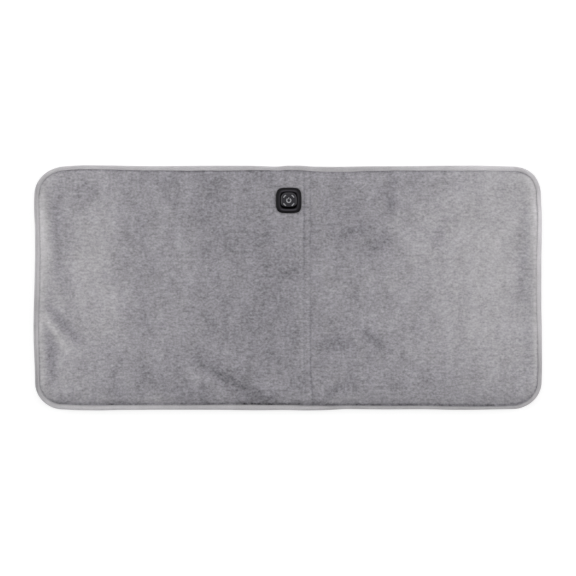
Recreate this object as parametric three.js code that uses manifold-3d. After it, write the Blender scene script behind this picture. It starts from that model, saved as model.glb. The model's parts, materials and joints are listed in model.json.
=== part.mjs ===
// A two-place heated seat cushion: a thin quilted pad with a bound edge, a sewn fold across it,
// a heating wire on a cloth in each half, and a low square control with one push button.
// Lengths are millimetres. X runs along the pad, Y towards its back edge and Z up from the seat.
// The origin is the middle of the underside.

import * as THREE from "three";
import { mergeVertices } from "three/addons/utils/BufferGeometryUtils.js";
import Module from "manifold-3d";

const wasm = await Module();
wasm.setup();

// Outline of the pad.
const padLength = 932;
const padDepth = 450;
const cornerRadius = 50;

// Layers from the seat upwards, and the air between two of them.
const bottomCover = 1;
const lowerWadding = 3;
const heaterCloth = 0.6;
const upperWadding = 2.8;
const topCover = 1.7;
const layerGap = 0.3;

// Crown: the pad is pinched flat inside the binding and swells to its full height over the reach.
const pinchedWidth = 7.6;
const crownReach = 34;
const crownPower = 3;
const crownShares = [0, 0.16, 0.38, 0.64, 1];
const coverRingCount = 3;
const straightShares = [1 / 3, 2 / 3];
const middleShares = [-0.5, 0, 0.5];

// Binding: a tape folded over the rims of both covers.
const bindingWidth = 8;
const bindingTape = 0.8;
const bindingSlack = 0.4;
const bindingRound = 1.2;
const bindingArcSteps = 3;
const cornerSteps = 7;

// Fold: two rows of stitches with a narrow band between them, where the pad folds in two.
const foldX = 35.5;
const stitchOffset = 6;
const creaseShoulder = 5.5;
const creaseDepth = 1.5;
const bandDip = 0.5;
const foldGap = 0.3;

// Control: the bezel above the cover, the base below it, and the button in the middle.
const bezelOverBase = 2;
const bezelRise = 4.2;
const bezelShoulder = 1.1;
const bezelBevel = 1;
const bezelFoot = 0.4;
const skirtWall = 1;
const capGap = 0.4;
const lipHeight = 1.7;
const baseFloor = 0.9;
const baseRim = 1.6;
const baseToCrown = 7;
const controlToStitch = 4.5;
const squareness = 4;
const squareSteps = 32;
const fitGap = 0.2;

// Button cap and what it carries.
const capHalf = 14.8;
const capFlange = 1;
const capFlangeHeight = 1;
const capWall = 1.2;
const capPlate = 1.7;
const capProud = 1.1;
const capEdge = 0.9;
const capShoulder = 2.2;
const buttonTravel = 0.5;
const bossRadius = 2;
const guideGap = 0.15;
const ringRadius = 3.8;
const ringStroke = 1.7;
const ringMouth = 38;
const barStroke = 1.3;
const barProud = 1.5;
const levelRadius = 11;
const levelWidth = 1.5;
const levelSpan = 32;
const levelAngles = [45, 135, 225, 315];
const arcSteps = 6;
const ringSteps = 20;

// Circuit board and what stands on it.
const boardThickness = 1;
const switchWidth = 6.2;
const switchHeight = 2;
const plungerRadius = 1.7;
const plungerSocket = 1.3;
const plungerProud = 0.9;
const ledLength = 3.2;
const ledWidth = 1.6;
const ledHeight = 1;
const ledToSwitch = 1.3;
const chipLength = 5;
const chipWidth = 4;
const chipHeight = 1;
const chipToCapEdge = 5.3;

// Screws that clamp the cover between the base and the bezel.
const screwWall = 1.5;
const screwRadius = 0.9;
const screwHeadRadius = 1.9;
const screwHeadHeight = 1;
const screwCover = 1.7;
const screwPoint = 0.6;
const screwPostRadius = 2;
const screwSteps = 12;

// Heating wires, leads and what joins them.
const wireRadius = 0.9;
const runCount = 10;
const heaterSideMargin = 5;
const heaterToBase = 27;
const heaterToFold = 35.5;
const leastStep = 0.3;
const wireSides = 6;
const bendSteps = 4;
const startBend = 8;
const leadBend = 5;
const leadToHeater = 14;
const sleeveLength = 9;
const sleeveFit = 0.12;
const sleeveWall = 0.25;
const sleeveSides = 8;
const thermostatLength = 15;
const thermostatWidth = 6.4;
const thermostatHeight = 3;
const thermostatNeck = 2.4;
const thermostatShoulder = 2.5;
const thermostatRound = 1;

// Where the leads rise through the floor of the base, from the middle of the control.
const supplyHoleX = 10.5;
const supplyHoleY = -6.5;
const returnHoleX = 4.5;
const returnHoleY = -10.5;
const crossingSpread = 9;

// Inlet: a socket moulded into a block that the binding and the covers hold at the back edge.
const inletX = 9;
const inletMargin = 1;
const socketWidth = 8.9;
const socketHeight = 3.2;
const socketRound = 1.3;
const socketWall = 0.3;
const socketDepth = 7.3;
const inletWall = 0.65;
const inletBack = 5.7;
const noseWall = 1.4;
const inletShoulder = 4;
const tongueClear = 0.85;
const tongueRecess = 0.7;
const tongueThickness = 0.7;
const tongueRoot = 2;
const inletLeadRadius = 1.5;
const inletLeadGrip = 3;
const inletHoleY = 9;
const reliefRadius = 2.2;
const roundSteps = 4;
const leadSides = 8;

// Every cutting solid runs past the face that it opens by this much.
const overrun = 2;

// Places worked out from the sizes above.
const halfLength = padLength / 2;
const halfDepth = padDepth / 2;
const rimInset = bindingTape + layerGap;
const rimHalfLength = halfLength - rimInset;
const rimHalfDepth = halfDepth - rimInset;
const rimRadius = cornerRadius - rimInset;
const rimFloor = bindingTape + layerGap;
const bindingHeight = 2 * bindingTape + 2 * layerGap + bottomCover + topCover + bindingSlack;

// The control, from the button outwards. The corner share is where a rounded square's corner lies.
const cornerShare = 0.5 ** (1 / squareness);
const lipHalf = capHalf + capGap;
const skirtHalf = lipHalf + capFlange + skirtWall;
const capRise = bezelRise + capProud;
const capFlatHalf = capHalf - capShoulder;
const boardHalf = capHalf + fitGap;
const baseCavityHalf = boardHalf + 2 * fitGap;
const headHole = screwHeadRadius + fitGap;
const screwPlace = cornerShare * baseCavityHalf + (headHole + screwWall) / Math.SQRT2;
const baseHalf = (screwPlace + (headHole + baseRim) / Math.SQRT2) / cornerShare;
const bezelHalf = baseHalf + bezelOverBase;
const barInner = bossRadius + 2 * guideGap;
const barOuter = ringRadius + barProud;
const powerLedPlace = (switchWidth + ledWidth) / 2 + ledToSwitch;
const stitchX = foldX - stitchOffset;
const controlX = stitchX - controlToStitch - bezelHalf;
const baseEdgeInset = rimInset + crownReach + baseToCrown;
const controlY = halfDepth - baseEdgeInset - baseHalf;

// The inlet, from the socket outwards.
const inletHeight = socketHeight + 2 * (guideGap + inletWall);
const noseWidth = socketWidth + 2 * (guideGap + noseWall);
const inletWidth = noseWidth + 2 * inletShoulder;
const inletDepth = socketDepth + inletBack;
const tongueWidth = socketWidth - 2 * (socketWall + tongueClear);
const tongueReach = socketDepth - tongueRoot - tongueRecess;

// Insets from the outline of the rows of points that every layer shares: the rim, then the crown.
const ringInsets = [0, ...crownShares.map((share) => pinchedWidth + share * (crownReach - pinchedWidth))].map(
  (offset) => rimInset + offset,
);

// Heights of the inner layers above the bottom cover, where the pad is full.
const lowerWaddingFoot = layerGap;
const lowerWaddingTop = lowerWaddingFoot + lowerWadding;
const clothFoot = lowerWaddingTop + layerGap;
const clothTop = clothFoot + heaterCloth;
const wireFoot = clothTop + layerGap;
const wireSpace = 2 * (wireRadius + layerGap);
const upperWaddingFoot = wireFoot + wireSpace + layerGap;
const coreHeight = upperWaddingFoot + upperWadding;
const wireLevel = bottomCover + wireFoot + wireSpace / 2;
const coverTopLevel = bottomCover + coreHeight + layerGap + topCover;

const at = (x, y, z = wireLevel) => new THREE.Vector3(x, y, z);
const clamp = (value, low, high) => Math.min(Math.max(value, low), high);
const radians = THREE.MathUtils.degToRad;

// Solids

function signedVolume(positions, triangles) {
  let total = 0;
  for (let i = 0; i < triangles.length; i += 3) {
    const [a, b, c] = [0, 1, 2].map((k) => new THREE.Vector3().fromArray(positions, 3 * triangles[i + k]));
    total += a.dot(b.cross(c)) / 6;
  }
  return total;
}

// A closed geometry from points and triangles, turned so that its faces point out.
function closedGeometry(points, triangles) {
  const positions = points.flatMap((p) => [p.x, p.y, p.z]);
  if (signedVolume(positions, triangles) < 0) triangles.reverse();
  const geometry = new THREE.BufferGeometry();
  geometry.setAttribute("position", new THREE.Float32BufferAttribute(positions, 3));
  geometry.setIndex(triangles);
  return geometry;
}

function solidOf(geometry) {
  const bare = geometry.clone();
  bare.deleteAttribute("normal");
  bare.deleteAttribute("uv");
  const merged = mergeVertices(bare);
  return new wasm.Manifold(
    new wasm.Mesh({
      numProp: 3,
      vertProperties: merged.attributes.position.array,
      triVerts: new Uint32Array(merged.index.array),
    }),
  );
}

function geometryOf(solid) {
  const mesh = solid.getMesh();
  const geometry = new THREE.BufferGeometry();
  geometry.setAttribute("position", new THREE.BufferAttribute(mesh.vertProperties, 3));
  geometry.setIndex(new THREE.BufferAttribute(mesh.triVerts, 1));
  return geometry;
}

function cut(geometry, ...tools) {
  return geometryOf(tools.reduce((solid, tool) => solid.subtract(solidOf(tool)), solidOf(geometry)));
}

function join(...geometries) {
  return geometryOf(geometries.map(solidOf).reduce((whole, piece) => whole.add(piece)));
}

// Skins a row of rings that have the same number of points, and closes its two ends.
function loft(rings, section) {
  const count = rings[0].length;
  const cap = section
    ? THREE.ShapeUtils.triangulateShape(section, [])
    : Array.from({ length: count - 2 }, (_, i) => [0, i + 1, i + 2]);
  const last = (rings.length - 1) * count;
  const triangles = cap.flatMap(([a, b, c]) => [c, b, a, last + a, last + b, last + c]);
  for (let k = 0; k + 1 < rings.length; k++) {
    for (let i = 0; i < count; i++) {
      const [a, b] = [k * count + i, k * count + ((i + 1) % count)];
      triangles.push(a, b, b + count, a, b + count, a + count);
    }
  }
  return closedGeometry(rings.flat(), triangles);
}

function box(width, depth, low, high, x = 0, y = 0) {
  const geometry = new THREE.BoxGeometry(width, depth, high - low);
  return geometry.translate(x, y, (low + high) / 2);
}

function disc(radius, low, high, x = 0, y = 0, sides = screwSteps) {
  const geometry = new THREE.CylinderGeometry(radius, radius, high - low, sides);
  return geometry.rotateX(Math.PI / 2).translate(x, y, (low + high) / 2);
}

// A square with bulging sides and round corners, as a ring of points at a height.
function squareRing(half, z) {
  const bulge = (value) => Math.sign(value) * Math.abs(value) ** (2 / squareness);
  return Array.from({ length: squareSteps }, (_, i) => {
    const angle = ((i + 0.5) / squareSteps) * 2 * Math.PI;
    return new THREE.Vector3(half * bulge(Math.cos(angle)), half * bulge(Math.sin(angle)), z);
  });
}

// Rounded squares stacked from the lowest to the highest: each level is [half width, height].
function squareStack(levels) {
  return loft(levels.map(([half, z]) => squareRing(half, z)));
}

// A bent strip of a ring, seen from above, between two angles in degrees.
function arcStrip(radius, width, from, to, low, high, steps) {
  const shape = new THREE.Shape();
  const edge = (r, angle) => [r * Math.cos(radians(angle)), r * Math.sin(radians(angle))];
  for (let i = 0; i <= steps; i++) {
    const angle = from + ((to - from) * i) / steps;
    if (i === 0) shape.moveTo(...edge(radius + width / 2, angle));
    else shape.lineTo(...edge(radius + width / 2, angle));
  }
  for (let i = steps; i >= 0; i--) {
    shape.lineTo(...edge(radius - width / 2, from + ((to - from) * i) / steps));
  }
  const geometry = new THREE.ExtrudeGeometry(shape, { depth: high - low, bevelEnabled: false });
  return geometry.translate(0, 0, low);
}

// A rectangle with round corners that stands across Y, as a ring of points.
function slotRing(width, height, round, x, y, z) {
  const [w, h] = [width / 2 - round, height / 2 - round];
  const corners = [[w, h, 0], [-w, h, 90], [-w, -h, 180], [w, -h, 270]];
  return corners.flatMap(([cx, cz, start]) =>
    Array.from({ length: roundSteps + 1 }, (_, i) => {
      const angle = radians(start + (90 * i) / roundSteps);
      return at(x + cx + round * Math.cos(angle), y, z + cz + round * Math.sin(angle));
    }),
  );
}

function slotBlock(width, height, round, fromY, toY, x, z) {
  return loft([fromY, toY].map((y) => slotRing(width, height, round, x, y, z)));
}

// Corner points joined by straight stretches, with each corner rounded as far as its sides allow.
function roundedRoute(corners, bend) {
  const route = [corners[0]];
  for (let i = 1; i + 1 < corners.length; i++) {
    const [before, corner, after] = [corners[i - 1], corners[i], corners[i + 1]];
    const inward = before.clone().sub(corner);
    const outward = after.clone().sub(corner);
    const half = inward.angleTo(outward) / 2;
    const room = Math.min(inward.length(), outward.length()) / 2;
    const reach = Math.min(bend / Math.tan(half), room);
    const radius = reach * Math.tan(half);
    const centre = inward.clone().normalize().add(outward.clone().normalize()).normalize();
    centre.multiplyScalar(radius / Math.sin(half)).add(corner);
    const first = corner.clone().addScaledVector(inward.normalize(), reach).sub(centre);
    const last = corner.clone().addScaledVector(outward.normalize(), reach).sub(centre);
    const turn = first.angleTo(last);
    for (let k = 0; k <= bendSteps; k++) {
      const a = Math.sin(turn * (1 - k / bendSteps)) / Math.sin(turn);
      const b = Math.sin((turn * k) / bendSteps) / Math.sin(turn);
      route.push(centre.clone().addScaledVector(first, a).addScaledVector(last, b));
    }
  }
  route.push(corners[corners.length - 1]);
  return route.filter((p, i) => i === 0 || p.distanceTo(route[i - 1]) > leastStep);
}

// A round wire along a route: its ring turns with the route and never twists.
function tube(route, radius, sides) {
  const headings = route.map((p, i) => {
    const before = route[Math.max(i - 1, 0)];
    const after = route[Math.min(i + 1, route.length - 1)];
    return after.clone().sub(before).normalize();
  });
  const side = new THREE.Vector3(-headings[0].y, headings[0].x, 0).normalize();
  const rings = route.map((p, i) => {
    if (i > 0) side.applyQuaternion(new THREE.Quaternion().setFromUnitVectors(headings[i - 1], headings[i]));
    const up = new THREE.Vector3().crossVectors(headings[i], side);
    return Array.from({ length: sides }, (_, k) => {
      const angle = ((k + 0.5) / sides) * 2 * Math.PI;
      const rim = p.clone().addScaledVector(side, radius * Math.cos(angle));
      return rim.addScaledVector(up, radius * Math.sin(angle));
    });
  });
  return loft(rings);
}

// Shape of the pad

// How far a point lies inside the rim of the covers.
function fromRim(x, y) {
  const px = Math.abs(x) - (rimHalfLength - rimRadius);
  const py = Math.abs(y) - (rimHalfDepth - rimRadius);
  return px > 0 && py > 0 ? rimRadius - Math.hypot(px, py) : rimRadius - Math.max(px, py);
}

// Share of the full height that the crown has at a point: none in the binding, all in the middle.
function crown(x, y) {
  const climb = clamp((fromRim(x, y) - pinchedWidth) / (crownReach - pinchedWidth), 0, 1);
  return 1 - (1 - climb) ** crownPower;
}

// The back edge rises over the inlet block and runs out to nothing at the fold.
const inletPlateau = inletWidth / 2 + inletMargin;
const inletRunOut = foldX - foldGap / 2 - inletX - inletPlateau;
const inletLift = inletHeight + layerGap;

function inletRamp(x) {
  return clamp(1 - (Math.abs(x - inletX) - inletPlateau) / inletRunOut, 0, 1);
}

// Share of the full height that the layers between the covers have at a point.
function fill(x, y) {
  const lifted = y > 0 ? (inletRamp(x) * (inletLift + rimFloor * crown(x, y))) / coreHeight : 0;
  return Math.max(crown(x, y), lifted);
}

// How far the stitches of the fold draw the top down.
function crease(x, y) {
  const away = Math.abs(x - foldX);
  const band = bandDip + (creaseDepth - bandDip) * Math.min(away / stitchOffset, 1) ** 2;
  const shoulder = clamp(1 - (away - stitchOffset) / creaseShoulder, 0, 1);
  return band * shoulder * crown(x, y);
}

const bottomCoverFoot = (x, y) => rimFloor * (1 - crown(x, y));
const bottomCoverHead = (x, y) => bottomCoverFoot(x, y) + bottomCover;
const inner = (height) => (x, y) => bottomCoverHead(x, y) + height * fill(x, y);
const upperWaddingHead = (x, y) => inner(coreHeight)(x, y) - crease(x, y);
const topCoverFoot = (x, y) => upperWaddingHead(x, y) + layerGap;
const topCoverHead = (x, y) => topCoverFoot(x, y) + topCover;

// Places along the straight edge of one half where the layers have points, from the fold outwards.
function straightPlaces(side) {
  const foldOffsets = [foldGap / 2, stitchOffset, stitchOffset + creaseShoulder];
  const places = foldOffsets.map((offset) => foldX + side * offset);
  if (side < 0) {
    const inletPlaces = [inletPlateau, -inletPlateau, -inletPlateau - inletRunOut];
    places.push(...inletPlaces.map((offset) => inletX + offset));
  }
  places.sort((a, b) => side * (a - b));
  const from = places[places.length - 1];
  const to = side * (halfLength - cornerRadius);
  return [...places, ...straightShares.map((share) => from + share * (to - from))];
}

// Points on the outline of one half, from the front end of the fold round to its back end. Each
// has the direction that points into the pad.
function outlineStations(side, endShares) {
  const cornerX = side * (halfLength - cornerRadius);
  const cornerY = halfDepth - cornerRadius;
  const front = straightPlaces(side).map((x) => ({ x, y: -halfDepth, nx: 0, ny: 1 }));
  for (let step = 0; step <= cornerSteps; step++) {
    const angle = radians((90 * step) / cornerSteps);
    const [nx, ny] = [-side * Math.sin(angle), Math.cos(angle)];
    front.push({ x: cornerX - nx * cornerRadius, y: -cornerY - ny * cornerRadius, nx, ny });
  }
  const end = endShares.map((share) => ({ x: side * halfLength, y: share * cornerY, nx: -side, ny: 0 }));
  const back = front.map(({ x, y, nx, ny }) => ({ x, y: -y, nx, ny: -ny })).reverse();
  return [...front, ...end, ...back];
}

// One layer of one half: two height functions over the shared points, closed by walls at the rim
// and at the fold. Rings of points follow the outline, and columns of points cross the middle.
function layer(side, firstRing, footAt, headAt) {
  const stations = outlineStations(side, middleShares);
  const count = stations.length;
  const columnCount = (count - middleShares.length) / 2;
  const points = [];
  const addPoint = (x, y) => points.push([x, y]) - 1;
  const rings = ringInsets.slice(firstRing).map((inset) =>
    stations.map(({ x, y, nx, ny }) => addPoint(x + nx * inset, y + ny * inset)),
  );
  const inmost = rings[rings.length - 1];
  const columns = Array.from({ length: columnCount }, (_, i) => {
    const [x, y] = points[inmost[i]];
    const middle =
      i < columnCount - 1
        ? middleShares.map((share) => addPoint(x, -share * y))
        : inmost.slice(columnCount, columnCount + middleShares.length);
    return [inmost[i], ...middle, inmost[count - 1 - i]];
  });
  const skins = [footAt, headAt].flatMap((height) => points.map(([x, y]) => at(x, y, height(x, y))));
  const head = points.length;
  const triangles = [];
  for (const rows of [rings, [...columns].reverse()]) {
    for (let i = 0; i + 1 < rows.length; i++) {
      for (let j = 0; j + 1 < rows[i].length; j++) {
        const [a, b, c, d] = [rows[i][j], rows[i][j + 1], rows[i + 1][j + 1], rows[i + 1][j]];
        triangles.push(a + head, b + head, c + head, a + head, c + head, d + head);
        triangles.push(c, b, a, d, c, a);
      }
    }
  }
  const inward = rings.slice(1);
  const rim = [
    ...rings[0],
    ...inward.map((ring) => ring[count - 1]),
    ...columns[0].slice(1, -1).reverse(),
    ...inward.map((ring) => ring[0]).reverse(),
  ];
  rim.forEach((a, i) => {
    const b = rim[(i + 1) % rim.length];
    triangles.push(a, b, b + head, a, b + head, a + head);
  });
  return closedGeometry(skins, triangles);
}

// The binding's section, for one height of the edge: each point is [distance in from the edge, height].
function bindingSection(height) {
  const turns = Array.from({ length: bindingArcSteps + 1 }, (_, i) => radians((90 * i) / bindingArcSteps));
  const upper = turns.map((turn) => [
    bindingRound * (1 - Math.sin(turn)),
    height - bindingRound * (1 - Math.cos(turn)),
  ]);
  const lower = turns.map((turn) => [
    bindingRound * (1 - Math.cos(turn)),
    bindingRound * (1 - Math.sin(turn)),
  ]);
  const slot = [
    [bindingWidth, 0],
    [bindingWidth, bindingTape],
    [bindingTape, bindingTape],
    [bindingTape, height - bindingTape],
    [bindingWidth, height - bindingTape],
    [bindingWidth, height],
  ];
  return [...upper, ...lower, ...slot];
}

// The binding of one half follows the outline from the fold, round both corners, to the fold.
function bindingOf(side) {
  const rings = outlineStations(side, []).map(({ x, y, nx, ny }) => {
    const height = bindingHeight + (y > 0 ? inletLift * inletRamp(x) : 0);
    return bindingSection(height).map(([inward, z]) => at(x + nx * inward, y + ny * inward, z));
  });
  const section = bindingSection(bindingHeight).map(([inward, z]) => new THREE.Vector2(inward, z));
  return loft(rings, section);
}

// Materials

const fabric = (color, roughness) => new THREE.MeshStandardMaterial({ color, roughness, metalness: 0 });
const metal = (color, roughness) => new THREE.MeshStandardMaterial({ color, roughness, metalness: 1 });
const plush = fabric(0x94929a, 0.95);
const backing = fabric(0x6f6f74, 0.9);
const tape = fabric(0xb9b6b4, 0.85);
const waddingWhite = fabric(0xf0eee8, 1);
const cloth = fabric(0xdcdad2, 0.95);
const heatingWire = fabric(0xa8442e, 0.5);
const blackPlastic = fabric(0x1b1b1e, 0.45);
const glossPlastic = fabric(0x242427, 0.25);
const milkyPlastic = fabric(0xb4b4b8, 0.4);
const boardGreen = fabric(0x1f5a3a, 0.5);
const sleeveWhite = fabric(0xd8d8d4, 0.4);
const steel = metal(0xb8bac0, 0.35);
const brass = metal(0xb08d4a, 0.4);

const cushion = new THREE.Group();
const control = new THREE.Group();
const button = new THREE.Group();
cushion.add(control);
control.add(button);
control.position.set(controlX, controlY, coverTopLevel);

function place(parent, name, geometry, material) {
  const mesh = new THREE.Mesh(geometry, material);
  mesh.name = name;
  parent.add(mesh);
  return mesh;
}

// Control. Heights in this group start at the face of the cover, which is zero.

const baseHead = -topCover - layerGap;
const baseFoot = baseHead - upperWadding;
const boardFoot = baseFoot + baseFloor + fitGap;
const boardHead = boardFoot + boardThickness;
const partFoot = boardHead + fitGap;
const switchHead = partFoot + switchHeight;
const socketFloor = switchHead - plungerSocket;
const plungerHead = switchHead + plungerProud;
const skirtFoot = baseHead + fitGap;
const screwHeadFoot = baseFoot + fitGap / 2;
const screwHeadTop = screwHeadFoot + screwHeadHeight;
const screwTip = bezelRise - screwCover;
const screwHole = screwRadius + fitGap;
const cornerSigns = [[1, 1], [-1, 1], [-1, -1], [1, -1]];
const screwCorners = cornerSigns.map((signs) => signs.map((sign) => sign * screwPlace));
const inletHoleX = inletX - controlX;

function makeBase() {
  const body = squareStack([[baseHalf, baseFoot], [baseHalf, baseHead]]);
  const cavity = squareStack([[baseCavityHalf, baseFoot + baseFloor], [baseCavityHalf, baseHead + overrun]]);
  const leadHole = (x, y, radius) => disc(radius + 2 * fitGap, baseFoot - overrun, baseHead, x, y);
  const holes = [leadHole(inletHoleX, inletHoleY, inletLeadRadius)];
  for (const side of [-1, 1]) {
    holes.push(leadHole(side * supplyHoleX, supplyHoleY, wireRadius));
    holes.push(leadHole(side * returnHoleX, returnHoleY, wireRadius));
  }
  for (const [x, y] of screwCorners) {
    holes.push(disc(screwHole, baseFoot - overrun, baseHead + overrun, x, y));
    holes.push(disc(headHole, baseFoot - overrun, screwHeadTop + fitGap / 2, x, y));
  }
  return cut(body, cavity, ...holes);
}

function makeBezel() {
  const face = squareStack([
    [bezelHalf - bezelFoot, layerGap],
    [bezelHalf, layerGap + bezelFoot],
    [bezelHalf, bezelRise - 2 * bezelShoulder],
    [bezelHalf - bezelShoulder / 2, bezelRise - bezelShoulder],
    [bezelHalf - 2 * bezelShoulder, bezelRise - bezelShoulder / 4],
    [bezelHalf - 3 * bezelShoulder, bezelRise],
  ]);
  const skirt = squareStack([[skirtHalf, skirtFoot], [skirtHalf, lipHeight]]);
  const posts = screwCorners.map(([x, y]) => disc(screwPostRadius, skirtFoot, lipHeight, x, y));
  const opening = squareStack([
    [lipHalf, skirtFoot - overrun],
    [lipHalf, bezelRise - bezelBevel],
    [lipHalf + bezelBevel, bezelRise],
    [lipHalf + bezelBevel, bezelRise + overrun],
  ]);
  const cavityHalf = skirtHalf - skirtWall;
  const cavity = squareStack([[cavityHalf, skirtFoot - overrun], [cavityHalf, lipHeight]]);
  const pilots = screwCorners.map(([x, y]) => disc(screwHole, skirtFoot - overrun, screwTip + fitGap, x, y));
  return cut(join(face, skirt, ...posts), opening, cavity, ...pilots);
}

// Light guides are strips let into the button's face: the power sign and the four level marks.
const ringFrom = 90 + ringMouth;
const ringTo = 450 - ringMouth;
const plateFoot = capRise - capPlate;
const guideFoot = partFoot + ledHeight + buttonTravel + fitGap;

function ringStrip(grow, low, high) {
  const turn = THREE.MathUtils.radToDeg(grow / ringRadius);
  return arcStrip(ringRadius, ringStroke + 2 * grow, ringFrom - turn, ringTo + turn, low, high, ringSteps);
}

function barStrip(grow, low, high) {
  const length = barOuter - barInner + 2 * grow;
  return box(barStroke + 2 * grow, length, low, high, 0, (barInner + barOuter) / 2);
}

function levelStrip(angle, grow, low, high) {
  const half = levelSpan / 2 + THREE.MathUtils.radToDeg(grow / levelRadius);
  return arcStrip(levelRadius, levelWidth + 2 * grow, angle - half, angle + half, low, high, arcSteps);
}

function makeCap() {
  const flangeHead = lipHeight - layerGap;
  const flangeFoot = flangeHead - capFlangeHeight;
  const shell = squareStack([
    [capHalf + capFlange, flangeFoot],
    [capHalf + capFlange, flangeHead],
    [capHalf, flangeHead],
    [capHalf, capRise - capEdge],
    [capHalf - capEdge / 4, capRise - capEdge / 2],
    [(capHalf + capFlatHalf) / 2, capRise - capEdge / 8],
    [capFlatHalf, capRise],
  ]);
  const cavityHalf = capHalf - capWall;
  const cavity = squareStack([[cavityHalf, flangeFoot - overrun], [cavityHalf, plateFoot]]);
  const boss = disc(bossRadius, plungerHead + layerGap, capRise - capPlate / 2);
  const [low, high] = [plateFoot - overrun, capRise + overrun];
  const slots = [ringStrip(guideGap, low, high), barStrip(guideGap, low, high)];
  slots.push(...levelAngles.map((angle) => levelStrip(angle, guideGap, low, high)));
  return cut(join(cut(shell, cavity), boss), ...slots);
}

function makeSwitch() {
  const body = box(switchWidth, switchWidth, partFoot, switchHead);
  return cut(body, disc(plungerRadius + fitGap, socketFloor, switchHead + overrun));
}

// The bar of the power sign stands on a stem that takes the light from the lamp below it.
function makePowerBar() {
  const stem = box(barStroke, ledWidth, guideFoot, plateFoot - fitGap, 0, powerLedPlace);
  return join(barStrip(0, plateFoot - capPlate / 2, capRise), stem);
}

function makeScrew() {
  const profile = [
    [0, screwHeadFoot],
    [screwHeadRadius, screwHeadFoot],
    [screwHeadRadius, screwHeadTop],
    [screwRadius, screwHeadTop],
    [screwRadius, screwTip - screwPoint],
    [0, screwTip],
  ];
  const points = profile.map(([radius, z]) => new THREE.Vector2(radius, z));
  return new THREE.LatheGeometry(points, screwSteps).rotateX(Math.PI / 2);
}

const chip = box(chipWidth, chipLength, partFoot, partFoot + chipHeight, chipToCapEdge - capHalf);
const powerLed = box(ledLength, ledWidth, partFoot, partFoot + ledHeight, 0, powerLedPlace);
place(control, "control_bezel", makeBezel(), blackPlastic);
place(control, "control_base", makeBase(), blackPlastic);
const board = squareStack([[boardHalf, boardFoot], [boardHalf, boardHead]]);
place(control, "circuit_board", board, boardGreen);
place(control, "switch_body", makeSwitch(), blackPlastic);
place(control, "control_chip", chip, blackPlastic);
place(control, "power_led", powerLed, milkyPlastic);
screwCorners.forEach(([x, y], i) => {
  place(control, `control_screw_${i + 1}`, makeScrew(), steel).position.set(x, y, 0);
});
levelAngles.forEach((angle, i) => {
  const shape = box(ledWidth, ledLength, partFoot, partFoot + ledHeight);
  const led = place(control, `level_led_${i + 1}`, shape, milkyPlastic);
  led.position.set(levelRadius * Math.cos(radians(angle)), levelRadius * Math.sin(radians(angle)), 0);
  led.rotation.z = radians(angle);
});

const plungerFoot = socketFloor + buttonTravel + fitGap;
place(button, "button_cap", makeCap(), glossPlastic);
place(button, "switch_plunger", disc(plungerRadius, plungerFoot, plungerHead), milkyPlastic);
place(button, "power_mark_ring", ringStrip(0, plateFoot, capRise), milkyPlastic);
place(button, "power_mark_bar", makePowerBar(), milkyPlastic);
levelAngles.forEach((angle, i) => {
  place(button, `level_guide_${i + 1}`, levelStrip(angle, 0, guideFoot, capRise), milkyPlastic);
});

// Heaters. Each wire runs to and fro from its thermostat and ends in a sleeve with its return lead.

const fullInset = rimInset + crownReach + heaterSideMargin;
const heaterBack = controlY - baseHalf - heaterToBase;
const heaterFront = fullInset - halfDepth;
const runPitch = (heaterBack - heaterFront) / (runCount - 1);
const thermostatFront = heaterBack + startBend + fitGap;
const thermostatBack = thermostatFront + thermostatLength;
const thermostatLevel = bottomCover + wireFoot + thermostatHeight / 2;
const riserTop = coverTopLevel + boardFoot - fitGap;

function heaterRoute(side, nearX, endX) {
  const farX = side * (halfLength - fullInset);
  const corners = [at(nearX, heaterBack + startBend), at(nearX, heaterBack)];
  for (let run = 0; run < runCount; run++) {
    const y = heaterBack - run * runPitch;
    const [from, to] = run % 2 ? [farX, nearX] : [nearX, farX];
    if (run > 0) corners.push(at(from, y));
    if (run < runCount - 1) corners.push(at(to, y));
  }
  corners.push(at(endX, heaterFront));
  return roundedRoute(corners, runPitch / 2);
}

// A cut-out in a shrunk sleeve, flat in the middle and narrow at its two ends.
function makeThermostat(x) {
  const neck = (y, z) => slotRing(thermostatNeck, thermostatNeck, thermostatRound, x, y, z);
  const full = (y) => slotRing(thermostatWidth, thermostatHeight, thermostatRound, x, y, thermostatLevel);
  return loft([
    neck(thermostatFront, wireLevel),
    full(thermostatFront + thermostatShoulder),
    full(thermostatBack - thermostatShoulder),
    neck(thermostatBack, wireLevel),
  ]);
}

function makeSleeve(fromX, toX) {
  const bore = wireRadius + sleeveFit;
  const past = overrun * Math.sign(toX - fromX);
  return cut(
    tube([at(fromX, heaterFront), at(toX, heaterFront)], bore + sleeveWall, sleeveSides),
    tube([at(fromX - past, heaterFront), at(toX + past, heaterFront)], bore, sleeveSides),
  );
}

function placeLead(name, corners) {
  place(cushion, name, tube(roundedRoute(corners, leadBend), wireRadius, wireSides), heatingWire);
}

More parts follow.
